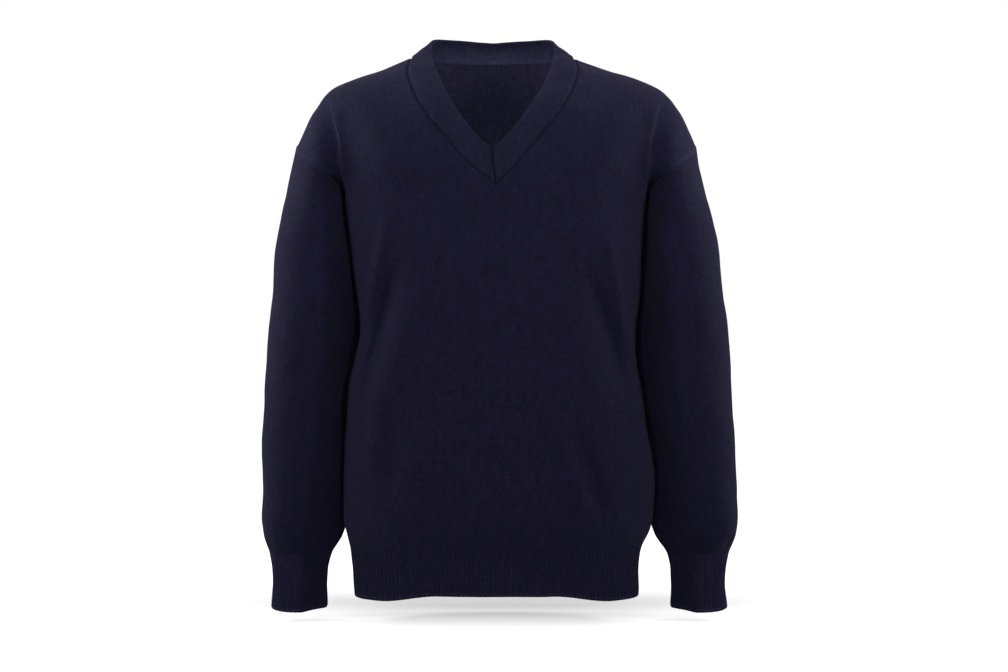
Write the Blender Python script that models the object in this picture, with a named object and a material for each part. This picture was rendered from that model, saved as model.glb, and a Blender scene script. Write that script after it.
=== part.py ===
"""V-neck sweater: a knitted pullover, hollow and filled out as it looks when worn, with nobody in it.

The pieces are the ones that are knitted and sewn together: a front, a back, two sleeves, two cuffs,
two lengths of rib round the hem and one rib strip round the neck. Each is a wall of cloth of its own,
and neighbouring pieces stop half a seam gap short of the line where they are joined.

Sizes are in millimetres until a mesh is made. X runs across, with the wearer's left at +X, Y runs from
front to back, with the front at -Y, and Z runs up. The origin is at the middle of the neck, level with
the points where the shoulder seams meet the neckband: that is where the wearer's shoulders carry it.
"""

import math

import bmesh
import bpy
import numpy as np
from mathutils import Vector, kdtree

MM = 0.001

# Cloth and seams
JERSEY_WALL = 2.2
RIB_WALL = 2.6
NECKBAND_WALL = 3.0
SEAM_GAP = 0.3

# Heights of the garment's main levels
ARMPIT_Z = -165.0
HEM_SEAM_Z = -592.0
HEM_Z = -668.0
SLEEVE_TUBE_Z = -240.0
CUFF_SEAM_Z = -617.0
CUFF_Z = -684.0

# Shape of the body's rings
SIDE_SEAM_Y = -8.0
BODY_ROUNDNESS = 2.4
SLEEVE_ROUNDNESS = 2.2
SLEEVE_TURNED_IN = 1.0
HEM_RISE = 9.0
HEM_RISE_FROM = 145.0
HEM_RISE_OVER = 75.0

# The neck sits a little towards the wearer's right
NECK_SHIFT = -4.0
NECK_SHIFT_FADE_FROM = 100.0
NECK_SHIFT_FADE_TO = 200.0
NECK_SHIFT_START_Z = 40.0

# Shape of the panels above the armpit
PANEL_FULLNESS = 1.15
ARM_REACH = 250.0
ARM_SPREAD = 45.0
ARM_RISE = 40.0
ARM_SHARE = 0.35
NECK_SHARE_OF_FRONT = 0.6
SHOULDER_SHARE_OF_BACK = 0.62
NECK_LEAN = 0.35
NECK_LEAN_SHARE = 0.6
NECKBAND_BULGE = 4.6

# Where pieces meet: how far their ways out may agree at a cusp, and the way that settles a strip's diagonals
CUSP_AGREEMENT = 0.8
EDGE_SPLIT_WAY = Vector((0.61, 0.53, 0.59))

# Sleeves lie against the body, just clear of it
SLEEVE_CLEARANCE = 2.6
SLEEVE_PRESS = 2.0
SLEEVE_CLEAR_FROM = 12.0
SLEEVE_TOP_IN = -0.1
SLEEVE_TOP_OUT = 0.17
CUFF_TILT = 0.2

# Folds grow from their heads, fade to their feet and are gone at the side seams
FOLD_HEAD_SHARE = 0.35
FOLD_FOOT_SHARE = 0.3
FOLD_SIDE_FADE = 0.14

# How many facets
SHOULDER_COLUMNS = 11
BACK_NECK_COLUMNS = 4
YOKE_ROWS = 9
SLEEVE_HEAD_ROWS = 4


def table(columns, *rows):
    """A short table of sizes. Its first column says where each row stands."""
    names = columns.split()
    cells = np.array(sorted(rows), float)
    found = {name: cells[:, place] for place, name in enumerate(names)}
    found["where"] = cells[:, 0]
    return found


def read(rows, column, where):
    """The size in a column, read on a smooth curve through the table's rows."""
    knots = rows["where"]
    values = rows[column]
    slopes = np.gradient(values, knots)
    where = np.clip(where, knots[0], knots[-1])
    row = np.clip(np.searchsorted(knots, where, side="right") - 1, 0, len(knots) - 2)
    step = knots[row + 1] - knots[row]
    share = (where - knots[row]) / step
    low = (1 + 2 * share) * (1 - share) ** 2
    low_slope = share * (1 - share) ** 2
    high = share**2 * (3 - 2 * share)
    high_slope = share**2 * (share - 1)
    return (
        low * values[row]
        + low_slope * step * slopes[row]
        + high * values[row + 1]
        + high_slope * step * slopes[row + 1]
    )


# The body's rings: half width on each side of the centre, and depth before and behind the side seams.
TORSO = table(
    "height right left front back",
    (-165, 190, 190, 111, 115),
    (-185, 188, 186.5, 111.5, 114.5),
    (-240, 180, 183, 113, 113),
    (-300, 173, 179, 115, 110),
    (-340, 170, 175, 116, 109),
    (-376, 177, 175, 116, 110),
    (-410, 184, 181, 116, 112),
    (-455, 187, 188, 116, 114),
    (-490, 188, 194, 116, 114),
    (-550, 190, 197, 115, 113),
    (-578, 190, 194, 113, 111),
    (-592, 187, 190, 110, 108),
    (-604, 183, 184, 106, 104),
    (-626, 178.5, 179.5, 103, 101),
    (-668, 175.5, 177.5, 102, 100),
)

# The front neckline, where the neckband is joined on, from the point of the V to the shoulder seam.
FRONT_NECK = table(
    "along half y z",
    (0.00, 0, -119, -165),
    (0.18, 33, -115, -135),
    (0.30, 52, -108, -112),
    (0.42, 70, -98, -90),
    (0.59, 90, -77, -59),
    (0.83, 105, -28, -17),
    (1.00, 103, 12, 4),
)

FRONT_NECK_LENGTH = 262.0
BACK_NECK_LENGTH = 120.0

# The back neckline, from the shoulder seam to the centre back.
BACK_NECK = table(
    "along half y z",
    (0.00, 103, 12, 4),
    (0.25, 94, 34, 8),
    (0.50, 73, 52, 5),
    (0.75, 39, 63, 4),
    (1.00, 0, 67, 4),
)

# The neckband's free edge, from the point of the V to the centre back.
NECK_RIM = table(
    "along half y z",
    (0.00, 0, -110, -120),
    (0.12, 14, -107, -109),
    (0.28, 42, -89, -73),
    (0.40, 59, -68, -45),
    (0.53, 72, -34, -12),
    (0.68, 77, 2, 8),
    (0.77, 79, 21, 20),
    (0.83, 76, 36, 29),
    (0.91, 48, 54, 31.5),
    (1.00, 0, 62, 29.5),
)

# The shoulder seam, along the ridge from the top of the sleeve to the neck.
SHOULDER = table(
    "along half y z",
    (0.00, 252.7, 12, -110.6),
    (0.12, 242, 12, -86.6),
    (0.21, 234, 12, -70),
    (0.29, 225, 12, -56),
    (0.39, 212, 12, -41.3),
    (0.56, 185, 12, -26),
    (0.80, 141, 12, -11),
    (1.00, 103, 12, 4),
)

# The armhole, from the armpit to the top of the sleeve.
FRONT_ARMHOLE = table(
    "along half y z",
    (0.00, 190, -8, -165),
    (0.12, 191, -25, -162.5),
    (0.26, 197, -43, -157),
    (0.47, 213, -57, -144),
    (0.68, 232, -47, -131),
    (0.88, 247, -17, -118),
    (1.00, 252.7, 12, -110.6),
)
BACK_ARMHOLE = table(
    "along half y z",
    (0.00, 190, -8, -165),
    (0.12, 190.5, 14, -163),
    (0.26, 195.5, 42, -158),
    (0.47, 211, 74, -148),
    (0.68, 230, 76, -135),
    (0.88, 246, 44, -120),
    (1.00, 252.7, 12, -110.6),
)

# The sleeve's rings: middle, outer and inner edge, and its front and back.
SLEEVE = table(
    "height sway outer inner front back",
    (-240, 1.5, 278.5, 152, -60, 88),
    (-300, 2.5, 285.5, 150, -60, 89),
    (-350, 2.8, 290, 154, -59, 86),
    (-430, 3.1, 294.5, 162, -56, 80),
    (-500, 3.8, 297.5, 172, -52, 72),
    (-550, 4.4, 298.5, 182, -48, 66),
    (-580, 4.4, 298.5, 189, -45, 60),
    (-597, 4.2, 295.5, 196, -40, 51),
    (-608, 4.0, 291, 203.5, -33, 41),
    (-617, 4.0, 288, 209, -28, 34),
    (-630, 4.0, 285, 213.5, -25, 28),
    (-650, 4.0, 284, 215.5, -24, 26),
    (-684, 4.0, 286.5, 215.5, -25, 25),
)

# Folds pressed into or raised from the body, each a soft streak from its head to its foot.
FOLD_COLUMNS = ("face", "head_x", "head_z", "foot_x", "foot_z", "width", "height")
FOLDS = (
    (-1, -202, -55, -184, -178, 9, 4.5),
    (-1, -214, -72, -197, -172, 10, -5.0),
    (-1, 202, -60, 184, -178, 9, 4.5),
    (-1, 214, -78, 197, -172, 10, -5.0),
    (-1, -132, -205, -172, -345, 13, 5.0),
    (-1, -112, -250, -160, -420, 17, -6.0),
    (-1, 138, -230, 165, -385, 13, 5.0),
    (-1, 112, -270, 158, -415, 16, -6.0),
    (-1, 64, -430, 116, -565, 17, 4.0),
    (-1, 106, -445, 134, -570, 15, -4.5),
    (1, -108, -230, -142, -385, 20, 5.0),
    (1, 110, -240, 144, -395, 20, 5.0),
    (1, -30, -420, -95, -560, 20, 4.0),
    (1, 40, -400, 90, -560, 22, 4.0),
)

BODY_ROW_HEIGHTS = (-592, -578, -558, -530, -495, -462, -430, -400, -370, -340, -305, -265, -215, -165)
HEM_ROW_HEIGHTS = (-668, -645, -622, -604, -592)
SLEEVE_ROW_HEIGHTS = (-617, -608, -596, -578, -540, -490, -440, -385, -335, -285, -240)
CUFF_ROW_HEIGHTS = (-684, -660, -634, -617)

# The yarns: colour and roughness
JERSEY = ((0.0125, 0.0115, 0.030, 1.0), 0.9)
RIB = ((0.0115, 0.0108, 0.027, 1.0), 0.92)
NECK_RIB = ((0.0155, 0.0145, 0.035, 1.0), 0.88)

# Points closer than this are one; points of neighbouring pieces within the second are on one seam
JOIN_DISTANCE = 0.01
SEAM_DISTANCE = 0.05
SHARP_ANGLE = math.radians(50)


def ease(share):
    """0 below 0, 1 above 1, and a soft step between."""
    share = np.clip(share, 0, 1)
    return share * share * (3 - 2 * share)


def points_of(x, y, z):
    return np.stack(np.broadcast_arrays(x, y, z), axis=-1).astype(float)


def curve_point(rows, side, along):
    """A point of one of the garment's edges, which mirror each other left and right."""
    return points_of(side * read(rows, "half", along), read(rows, "y", along), read(rows, "z", along))


def bend(start, start_way, end, end_way, share):
    """A cubic from start to end, leaving along start_way and arriving along end_way."""
    share = share[..., None]
    return (
        (1 + 2 * share) * (1 - share) ** 2 * start
        + share * (1 - share) ** 2 * start_way
        + share**2 * (3 - 2 * share) * end
        + share**2 * (share - 1) * end_way
    )


def drape(face, across, x, z):
    """How far the folds carry a point of the body outwards. They fade out towards the side seams."""
    moved = np.zeros(np.broadcast(across, x, z).shape)
    for row in FOLDS:
        fold = dict(zip(FOLD_COLUMNS, row))
        if fold["face"] != face:
            continue
        run_x = fold["foot_x"] - fold["head_x"]
        run_z = fold["foot_z"] - fold["head_z"]
        length = math.hypot(run_x, run_z)
        along = ((x - fold["head_x"]) * run_x + (z - fold["head_z"]) * run_z) / length
        beside = ((x - fold["head_x"]) * run_z - (z - fold["head_z"]) * run_x) / length
        head = ease(along / (FOLD_HEAD_SHARE * length))
        foot = ease((length - along) / (FOLD_FOOT_SHARE * length))
        moved = moved + fold["height"] * head * foot * np.exp(-((beside / fold["width"]) ** 2))
    return moved * ease(across / FOLD_SIDE_FADE)


def body_shape(side, face, across, height):
    """The body below the armpit, without its folds: across is 0 at the side seam and 1 at the centre."""
    half = read(TORSO, "left" if side > 0 else "right", height)
    depth = read(TORSO, "front" if face < 0 else "back", height)
    turn = across * math.pi / 2
    x = side * half * np.cos(turn) ** (2 / BODY_ROUNDNESS)
    y = SIDE_SEAM_Y + face * depth * np.sin(turn) ** (2 / BODY_ROUNDNESS)
    return points_of(x, y, height)


def folded(face, across, points):
    """A panel's points with its folds."""
    moved = points.copy()
    moved[..., 1] += face * drape(face, across, points[..., 0], points[..., 2])
    return moved


def body_point(side, face, across, height):
    return folded(face, across, body_shape(side, face, across, height))


def shift_to_neck(points):
    """The neck's small step sideways, which fades out along the shoulders and below the V."""
    beyond = (abs(points[..., 0]) - NECK_SHIFT_FADE_FROM) / (NECK_SHIFT_FADE_TO - NECK_SHIFT_FADE_FROM)
    high = ease((points[..., 2] - ARMPIT_Z) / NECK_SHIFT_START_Z)
    moved = points.copy()
    moved[..., 0] += NECK_SHIFT * (1 - ease(beyond)) * high
    return moved


def way(x, y, z):
    return np.array((x, y, z), float)


def mix(first, second, share):
    return first + (second - first) * share[..., None]


def yoke_columns(side, face, across, rise):
    """The panel's columns from the armpit's level up to the shoulder seam or the back neckline."""
    start = body_shape(side, face, across, np.full_like(across, ARMPIT_Z))
    back_neck = np.zeros_like(across)
    along_shoulder = across
    if face > 0:
        along_shoulder = np.clip(across / SHOULDER_SHARE_OF_BACK, 0, 1)
        back_neck = np.clip((across - SHOULDER_SHARE_OF_BACK) / (1 - SHOULDER_SHARE_OF_BACK), 0, 1)
    end = curve_point(SHOULDER, side, along_shoulder)
    end = np.where(back_neck[..., None] > 0, curve_point(BACK_NECK, side, back_neck), end)
    reach = PANEL_FULLNESS * np.linalg.norm(end - start, axis=-1)[..., None]
    near_arm = ease(across / ARM_SHARE)
    start_way = mix(way(side * ARM_SPREAD, face * ARM_REACH, 0), reach * way(0, 0, 1), near_arm)
    level = reach * way(0, -face, 0)
    leaning = reach * way(0, -face * NECK_LEAN, 1 - NECK_LEAN)
    end_way = mix(level, leaning, ease(back_neck / NECK_LEAN_SHARE))
    end_way = mix(way(side * ARM_SPREAD, -face * ARM_REACH, ARM_RISE), end_way, near_arm)
    return bend(start, start_way, end, end_way, rise)


def yoke_point(side, face, across, rise):
    """A point of a panel above the armpit: rise is 0 at the armpit's level and 1 at the top edge."""
    points = yoke_columns(side, face, across, rise)
    armhole = curve_point(FRONT_ARMHOLE if face < 0 else BACK_ARMHOLE, side, rise)
    at_armhole = yoke_columns(side, face, np.zeros_like(across), rise)
    points = points + (armhole - at_armhole) * ease(1 - across / ARM_SHARE)[..., None]
    if face < 0:
        neckline = curve_point(FRONT_NECK, side, rise)
        at_neckline = yoke_columns(side, face, np.ones_like(across), rise)
        near_neck = ease(1 - (1 - across) / NECK_SHARE_OF_FRONT)
        points = points + (neckline - at_neckline) * near_neck[..., None]
    return folded(face, across, shift_to_neck(points))


def clear_of_body(side, points):
    """Moves a sleeve's points out to lie beside the body, just clear of it."""
    x, y, z = np.moveaxis(points, -1, 0)
    half = read(TORSO, "left" if side > 0 else "right", z)
    depth = np.where(y < SIDE_SEAM_Y, read(TORSO, "front", z), read(TORSO, "back", z))
    share = np.clip(abs(y - SIDE_SEAM_Y) / depth, 0, 1)
    body = half * (1 - share**BODY_ROUNDNESS) ** (1 / BODY_ROUNDNESS)
    least = body + SLEEVE_CLEARANCE
    spare = (side * x - least) / SLEEVE_PRESS
    pressed = least + SLEEVE_PRESS * np.logaddexp(0, spare)
    below = ease((ARMPIT_Z - z) / SLEEVE_CLEAR_FROM)
    return points_of(x + below * (side * pressed - x), y, z)


def sleeve_ring(side, turn, height):
    """A point of the sleeve's tube: turn runs from the inner side over the front and on all round."""
    outer = read(SLEEVE, "outer", height)
    inner = read(SLEEVE, "inner", height)
    front = read(SLEEVE, "front", height)
    back = read(SLEEVE, "back", height)
    # in front, the quarter next to the body turns away behind it
    quarter = np.sin(2 * turn) * (turn < math.pi / 2)
    power = 2 / (SLEEVE_ROUNDNESS - SLEEVE_TURNED_IN * quarter)
    swing_x = -np.cos(turn)
    swing_y = -np.sin(turn)
    x = (outer + inner) / 2 + (outer - inner) / 2 * np.sign(swing_x) * abs(swing_x) ** power
    y = (front + back) / 2 + (back - front) / 2 * np.sign(swing_y) * abs(swing_y) ** power
    below = ease((CUFF_SEAM_Z - height) / (CUFF_SEAM_Z - CUFF_Z))
    z = height + below * CUFF_TILT * (y - (front + back) / 2)
    return points_of(side * x + read(SLEEVE, "sway", height), y, z)


def sleeve_top(side, around):
    """The sleeve's edge at the armhole: around runs 0 to 1 over the front and 1 to 2 over the back."""
    front = curve_point(FRONT_ARMHOLE, side, np.clip(around, 0, 1))
    back = curve_point(BACK_ARMHOLE, side, np.clip(2 - around, 0, 1))
    return shift_to_neck(np.where(around[..., None] <= 1, front, back))


def sleeve_head(side, around, fall):
    """The sleeve between the armhole, where fall is 0, and its tube, where fall is 1."""
    top = sleeve_top(side, around)
    turn = around * math.pi
    foot = sleeve_ring(side, turn, np.full_like(around, SLEEVE_TUBE_Z))
    below = sleeve_ring(side, turn, np.full_like(around, SLEEVE_TUBE_Z - 1))
    drop = (top[..., 2] - foot[..., 2])[..., None]
    outward = (1 - np.cos(turn)) / 2
    top_way = drop * mix(way(side * SLEEVE_TOP_IN, 0, -1), way(side * SLEEVE_TOP_OUT, 0, -1), outward)
    foot_way = drop * (below - foot)
    return bend(top, top_way, foot, foot_way, fall)


def yoke_rises():
    return np.linspace(0, 1, YOKE_ROWS + 1)


def grid_of(first, second):
    """Every pair of the two lists, as two arrays with a row for each item of the first."""
    return np.meshgrid(np.array(first, float), np.array(second, float), indexing="ij")


def half_panel_columns(face):
    """The columns of half a panel. Front and back share those that cross the shoulder seam."""
    if face < 0:
        return np.linspace(0, 1, SHOULDER_COLUMNS + 1)
    over_shoulder = np.linspace(0, SHOULDER_SHARE_OF_BACK, SHOULDER_COLUMNS + 1)
    under_neck = np.linspace(SHOULDER_SHARE_OF_BACK, 1, BACK_NECK_COLUMNS + 1)
    return np.concatenate([over_shoulder, under_neck[1:]])


def two_halves(face, half):
    """Both halves of a panel. Seen from outside, the columns run from left to right."""
    return [half(face), half(-face)[:, ::-1]]


def panel_patches(face):
    """A panel as patches: the body below the armpit, then the two sides of the yoke."""
    height, across = grid_of(BODY_ROW_HEIGHTS, half_panel_columns(face))
    low = two_halves(face, lambda side: body_point(side, face, across, height))
    rise, over = grid_of(yoke_rises(), half_panel_columns(face))
    return low + two_halves(face, lambda side: yoke_point(side, face, over, rise))


def hem_point(side, face, across, height):
    point = body_point(side, face, across, height)
    if face < 0:
        lifted = HEM_RISE * ease((HEM_RISE_FROM - abs(point[..., 0])) / HEM_RISE_OVER)
        point[..., 2] += lifted * (HEM_SEAM_Z - height) / (HEM_SEAM_Z - HEM_Z)
    return point


def hem_patches(face):
    height, across = grid_of(HEM_ROW_HEIGHTS, half_panel_columns(face))
    return two_halves(face, lambda side: hem_point(side, face, across, height))


def around_sleeve():
    """The sleeve's columns, which meet the rows of the front and back at the armhole."""
    return np.concatenate([yoke_rises(), 1 + yoke_rises()[1:]])


def facing_out(side, patch):
    """A tube's columns run so that its faces look out, on either side of the body."""
    return patch if side > 0 else patch[:, ::-1]


def sleeve_patches(side):
    height, around = grid_of(SLEEVE_ROW_HEIGHTS, around_sleeve())
    tube = sleeve_ring(side, around * math.pi, height)
    fall, around = grid_of(np.linspace(1, 0, SLEEVE_HEAD_ROWS + 1), around_sleeve())
    head = sleeve_head(side, around, fall)
    return [facing_out(side, clear_of_body(side, patch)) for patch in (tube, head)]


def cuff_patches(side):
    height, around = grid_of(CUFF_ROW_HEIGHTS, around_sleeve())
    cuff = sleeve_ring(side, around * math.pi, height)
    return [facing_out(side, clear_of_body(side, cuff))]


def neckband_patches():
    """The neckband runs from the V up the left side, round the back and down to the V again."""
    rise = yoke_rises()
    behind = np.linspace(0, 1, BACK_NECK_COLUMNS + 1)
    shoulder_at = FRONT_NECK_LENGTH / (FRONT_NECK_LENGTH + BACK_NECK_LENGTH)
    along = np.concatenate([rise * shoulder_at, shoulder_at + behind[1:] * (1 - shoulder_at)])
    halves = []
    for side in (1, -1):
        seam = np.concatenate([curve_point(FRONT_NECK, side, rise), curve_point(BACK_NECK, side, behind)[1:]])
        rim = curve_point(NECK_RIM, side, along)
        halves.append(shift_to_neck(np.stack([seam, (seam + rim) / 2, rim])))
    left, right = halves
    band = np.concatenate([left, right[:, -2::-1]], axis=1)
    out = np.cross(np.gradient(band[1], axis=0), band[2] - band[0])
    out /= np.linalg.norm(out, axis=1)[:, None]
    from_v = np.minimum(np.arange(len(out)), np.arange(len(out))[::-1]) / YOKE_ROWS
    band[1] += NECKBAND_BULGE * ease(from_v)[:, None] * out
    return [band]


def sheet_of(patches, joined=True):
    """One open sheet of cloth through the patches' points."""
    sheet = bmesh.new()
    for patch in patches:
        rows, columns = patch.shape[:2]
        made = bmesh.ops.create_grid(sheet, x_segments=columns - 1, y_segments=rows - 1, size=1)
        for vert, point in zip(made["verts"], patch.reshape(-1, 3)):
            vert.co = Vector(point) * MM
    if joined:
        bmesh.ops.remove_doubles(sheet, verts=sheet.verts, dist=JOIN_DISTANCE * MM)
    sheet.normal_update()
    return sheet


def shared_ways(sheets):
    """Each point's way out of the cloth, the same on both sides of a seam.

    At the armpit the cloth turns right back on itself. There each piece also leans to its own way out.
    """
    points = [(vert.co.copy(), vert.normal.copy()) for sheet in sheets for vert in sheet.verts]
    tree = kdtree.KDTree(len(points))
    for place, (point, _) in enumerate(points):
        tree.insert(point, place)
    tree.balance()

    def way_out(vert):
        found = [points[place][1] for _, place, _ in tree.find_range(vert.co, SEAM_DISTANCE * MM)]
        total = sum(found, Vector((0, 0, 0)))
        agreement = total.length / len(found)
        own_share = ease((CUSP_AGREEMENT - agreement) / (CUSP_AGREEMENT / 2))
        return (total.normalized() + vert.normal * own_share).normalized()

    return [{vert: way_out(vert) for vert in sheet.verts} for sheet in sheets]


def into_piece(vert, out):
    """The step from a point of the border into the piece that stands it half a seam gap back."""
    ways = []
    for edge in vert.link_edges:
        if not edge.is_boundary:
            continue
        loop = edge.link_loops[0]
        run = loop.link_loop_next.vert.co - loop.vert.co
        ways.append(out.cross(run).normalized())
    if not ways:
        return Vector((0, 0, 0))
    total = ways[0] + ways[1]
    return total * (SEAM_GAP * MM / 2) / (1 + ways[0].dot(ways[1]))


def thicken(sheet, ways_out, wall):
    """Turns a sheet into a closed wall that lies inside it."""
    verts = list(sheet.verts)
    faces = list(sheet.faces)
    rims = [edge.link_loops[0] for edge in sheet.edges if edge.is_boundary]
    rims = [(loop.vert, loop.link_loop_next.vert) for loop in rims]
    steps = {vert: into_piece(vert, ways_out[vert]) for vert in verts}
    inner = {}
    for vert in verts:
        vert.co += steps[vert]
        inner[vert] = sheet.verts.new(vert.co - ways_out[vert] * wall * MM)
    for face in faces:
        sheet.faces.new([inner[vert] for vert in reversed(face.verts)])
    for first, second in rims:
        # Both pieces at a seam split this strip the same way, so that their edges stay parallel.
        if (second.co - first.co).dot(EDGE_SPLIT_WAY) > 0:
            sheet.faces.new([second, first, inner[first]])
            sheet.faces.new([second, inner[first], inner[second]])
        else:
            sheet.faces.new([second, first, inner[second]])
            sheet.faces.new([first, inner[first], inner[second]])


def knit_material(name, colour, roughness):
    material = bpy.data.materials.new(name)
    material.use_nodes = True
    shader = material.node_tree.nodes["Principled BSDF"]
    shader.inputs["Base Color"].default_value = colour
    shader.inputs["Roughness"].default_value = roughness
    shader.inputs["Metallic"].default_value = 0.0
    material.diffuse_color = colour
    return material


def add_piece(collection, name, sheet, yarn):
    mesh = bpy.data.meshes.new(name)
    sheet.to_mesh(mesh)
    sheet.free()
    mesh.shade_smooth()
    mesh.set_sharp_from_angle(angle=SHARP_ANGLE)
    mesh.materials.append(knit_material(name + "_knit", *yarn))
    collection.objects.link(bpy.data.objects.new(name, mesh))


def clear_scene():
    for thing in list(bpy.data.objects):
        bpy.data.objects.remove(thing, do_unlink=True)


def main():
    clear_scene()
    sweater = bpy.data.collections.new("v_neck_sweater")
    bpy.context.scene.collection.children.link(sweater)
    pieces = [
        ("front_panel", panel_patches(-1), JERSEY_WALL, JERSEY),
        ("back_panel", panel_patches(1), JERSEY_WALL, JERSEY),
        ("front_hem_rib", hem_patches(-1), RIB_WALL, RIB),
        ("back_hem_rib", hem_patches(1), RIB_WALL, RIB),
        ("neckband", neckband_patches(), NECKBAND_WALL, NECK_RIB),
    ]
    for side, name in ((1, "left"), (-1, "right")):
        pieces.append(("sleeve_" + name, sleeve_patches(side), JERSEY_WALL, JERSEY))
        pieces.append(("cuff_" + name, cuff_patches(side), RIB_WALL, RIB))
    sheets = [sheet_of(patches, joined=name != "neckband") for name, patches, *_ in pieces]
    for sheet, ways_out, piece in zip(sheets, shared_ways(sheets), pieces):
        name, _, wall, yarn = piece
        thicken(sheet, ways_out, wall)
        add_piece(sweater, name, sheet, yarn)


main()
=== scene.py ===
# %% [markdown]
# # A V-neck sweater, filled out and hollow
#
# The real sweater is a plain navy pullover, knitted in fine jersey. Its neckband, hem and cuffs are
# rib. It stands in the air as if somebody wore it, but there is nobody inside.
#
# Each piece of the pattern is rebuilt here as cloth, finer than the plain walls of the frame: with its
# folds, its ribs and the roll of its seams. Then come the yarn, the light and the camera. The frame is
# loaded first, because the cloth has to lie where its walls do.

# %% Load the frame
import math

import bpy
import numpy as np
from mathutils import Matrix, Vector, kdtree


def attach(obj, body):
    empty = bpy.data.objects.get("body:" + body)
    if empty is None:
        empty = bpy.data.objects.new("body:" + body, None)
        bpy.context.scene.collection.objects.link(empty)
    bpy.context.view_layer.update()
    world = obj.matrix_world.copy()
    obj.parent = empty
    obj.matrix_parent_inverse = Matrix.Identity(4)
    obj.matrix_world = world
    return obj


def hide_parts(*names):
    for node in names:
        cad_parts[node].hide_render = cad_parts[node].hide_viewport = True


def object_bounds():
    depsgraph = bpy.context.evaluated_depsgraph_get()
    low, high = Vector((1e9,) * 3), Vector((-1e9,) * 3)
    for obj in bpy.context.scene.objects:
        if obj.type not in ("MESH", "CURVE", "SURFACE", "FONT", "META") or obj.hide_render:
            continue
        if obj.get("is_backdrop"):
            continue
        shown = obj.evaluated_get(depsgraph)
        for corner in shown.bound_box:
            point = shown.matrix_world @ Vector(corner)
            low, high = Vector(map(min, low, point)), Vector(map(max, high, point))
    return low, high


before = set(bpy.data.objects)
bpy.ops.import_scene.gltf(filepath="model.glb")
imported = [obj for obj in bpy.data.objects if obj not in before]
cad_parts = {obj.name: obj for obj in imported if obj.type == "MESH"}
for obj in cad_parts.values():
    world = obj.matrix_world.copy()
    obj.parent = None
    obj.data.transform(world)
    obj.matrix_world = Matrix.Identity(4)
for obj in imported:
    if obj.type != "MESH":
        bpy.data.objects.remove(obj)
CAD_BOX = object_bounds()
MM = 0.001
print("pieces in the frame:", sorted(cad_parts))

# %% [markdown]
# ## Sizes in short tables
#
# A sweater has no flat faces and no straight edges, so its shape is told in sections: how wide and how
# deep the body is at each height, and where each seam runs. A table needs few rows, because a smooth
# curve is read through them. They are the same rows that the frame is built on, in millimetres, so the
# cloth lies where the walls are. The origin is at the middle of the neck, the wearer's left is at +X,
# and the front looks towards -Y.

# %% A table, and how it is read


def table(columns, *rows):
    """A short table of sizes. Its first column says where each row stands."""
    names = columns.split()
    cells = np.array(sorted(rows), float)
    found = {name: cells[:, place] for place, name in enumerate(names)}
    found["where"] = cells[:, 0]
    return found


def read(rows, column, where):
    """The size in a column, read on a smooth curve through the table's rows."""
    knots = rows["where"]
    values = rows[column]
    slopes = np.gradient(values, knots)
    where = np.clip(where, knots[0], knots[-1])
    row = np.clip(np.searchsorted(knots, where, side="right") - 1, 0, len(knots) - 2)
    step = knots[row + 1] - knots[row]
    share = (where - knots[row]) / step
    low = (1 + 2 * share) * (1 - share) ** 2
    low_slope = share * (1 - share) ** 2
    high = share**2 * (3 - 2 * share)
    high_slope = share**2 * (share - 1)
    return (
        low * values[row]
        + low_slope * step * slopes[row]
        + high * values[row + 1]
        + high_slope * step * slopes[row + 1]
    )


print("half way between rows of 0 and 10 a table reads", read(table("at size", (0, 0), (1, 10)), "size", 0.5))

# %% The body's rings and the garment's main heights
ARMPIT_Z = -165.0
HEM_SEAM_Z = -592.0
HEM_Z = -668.0
SLEEVE_TUBE_Z = -240.0
CUFF_SEAM_Z = -617.0
CUFF_Z = -684.0
SIDE_SEAM_Y = -8.0
BODY_ROUNDNESS = 2.4

# half width on each side of the centre, and depth before and behind the side seams
TORSO = table(
    "height right left front back",
    (-165, 190, 190, 111, 115),
    (-185, 188, 186.5, 111.5, 114.5),
    (-240, 180, 183, 113, 113),
    (-300, 173, 179, 115, 110),
    (-340, 170, 175, 116, 109),
    (-376, 177, 175, 116, 110),
    (-410, 184, 181, 116, 112),
    (-455, 187, 188, 116, 114),
    (-490, 188, 194, 116, 114),
    (-550, 190, 197, 115, 113),
    (-578, 190, 194, 113, 111),
    (-592, 187, 190, 110, 108),
    (-604, 183, 184, 106, 104),
    (-626, 178.5, 179.5, 103, 101),
    (-668, 175.5, 177.5, 102, 100),
)
print("body, half its width at the narrowest:", TORSO["right"].min(), "and", TORSO["left"].min(), "mm")

# %% The seam lines: neckline, rim of the neckband, shoulder and armhole
FRONT_NECK = table(
    "along half y z",
    (0.00, 0, -119, -165),
    (0.18, 33, -115, -135),
    (0.30, 52, -108, -112),
    (0.42, 70, -98, -90),
    (0.59, 90, -77, -59),
    (0.83, 105, -28, -17),
    (1.00, 103, 12, 4),
)
FRONT_NECK_LENGTH = 262.0
BACK_NECK = table(
    "along half y z",
    (0.00, 103, 12, 4),
    (0.25, 94, 34, 8),
    (0.50, 73, 52, 5),
    (0.75, 39, 63, 4),
    (1.00, 0, 67, 4),
)
BACK_NECK_LENGTH = 120.0
NECK_RIM = table(
    "along half y z",
    (0.00, 0, -110, -120),
    (0.12, 14, -107, -109),
    (0.28, 42, -89, -73),
    (0.40, 59, -68, -45),
    (0.53, 72, -34, -12),
    (0.68, 77, 2, 8),
    (0.77, 79, 21, 20),
    (0.83, 76, 36, 29),
    (0.91, 48, 54, 31.5),
    (1.00, 0, 62, 29.5),
)
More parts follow.
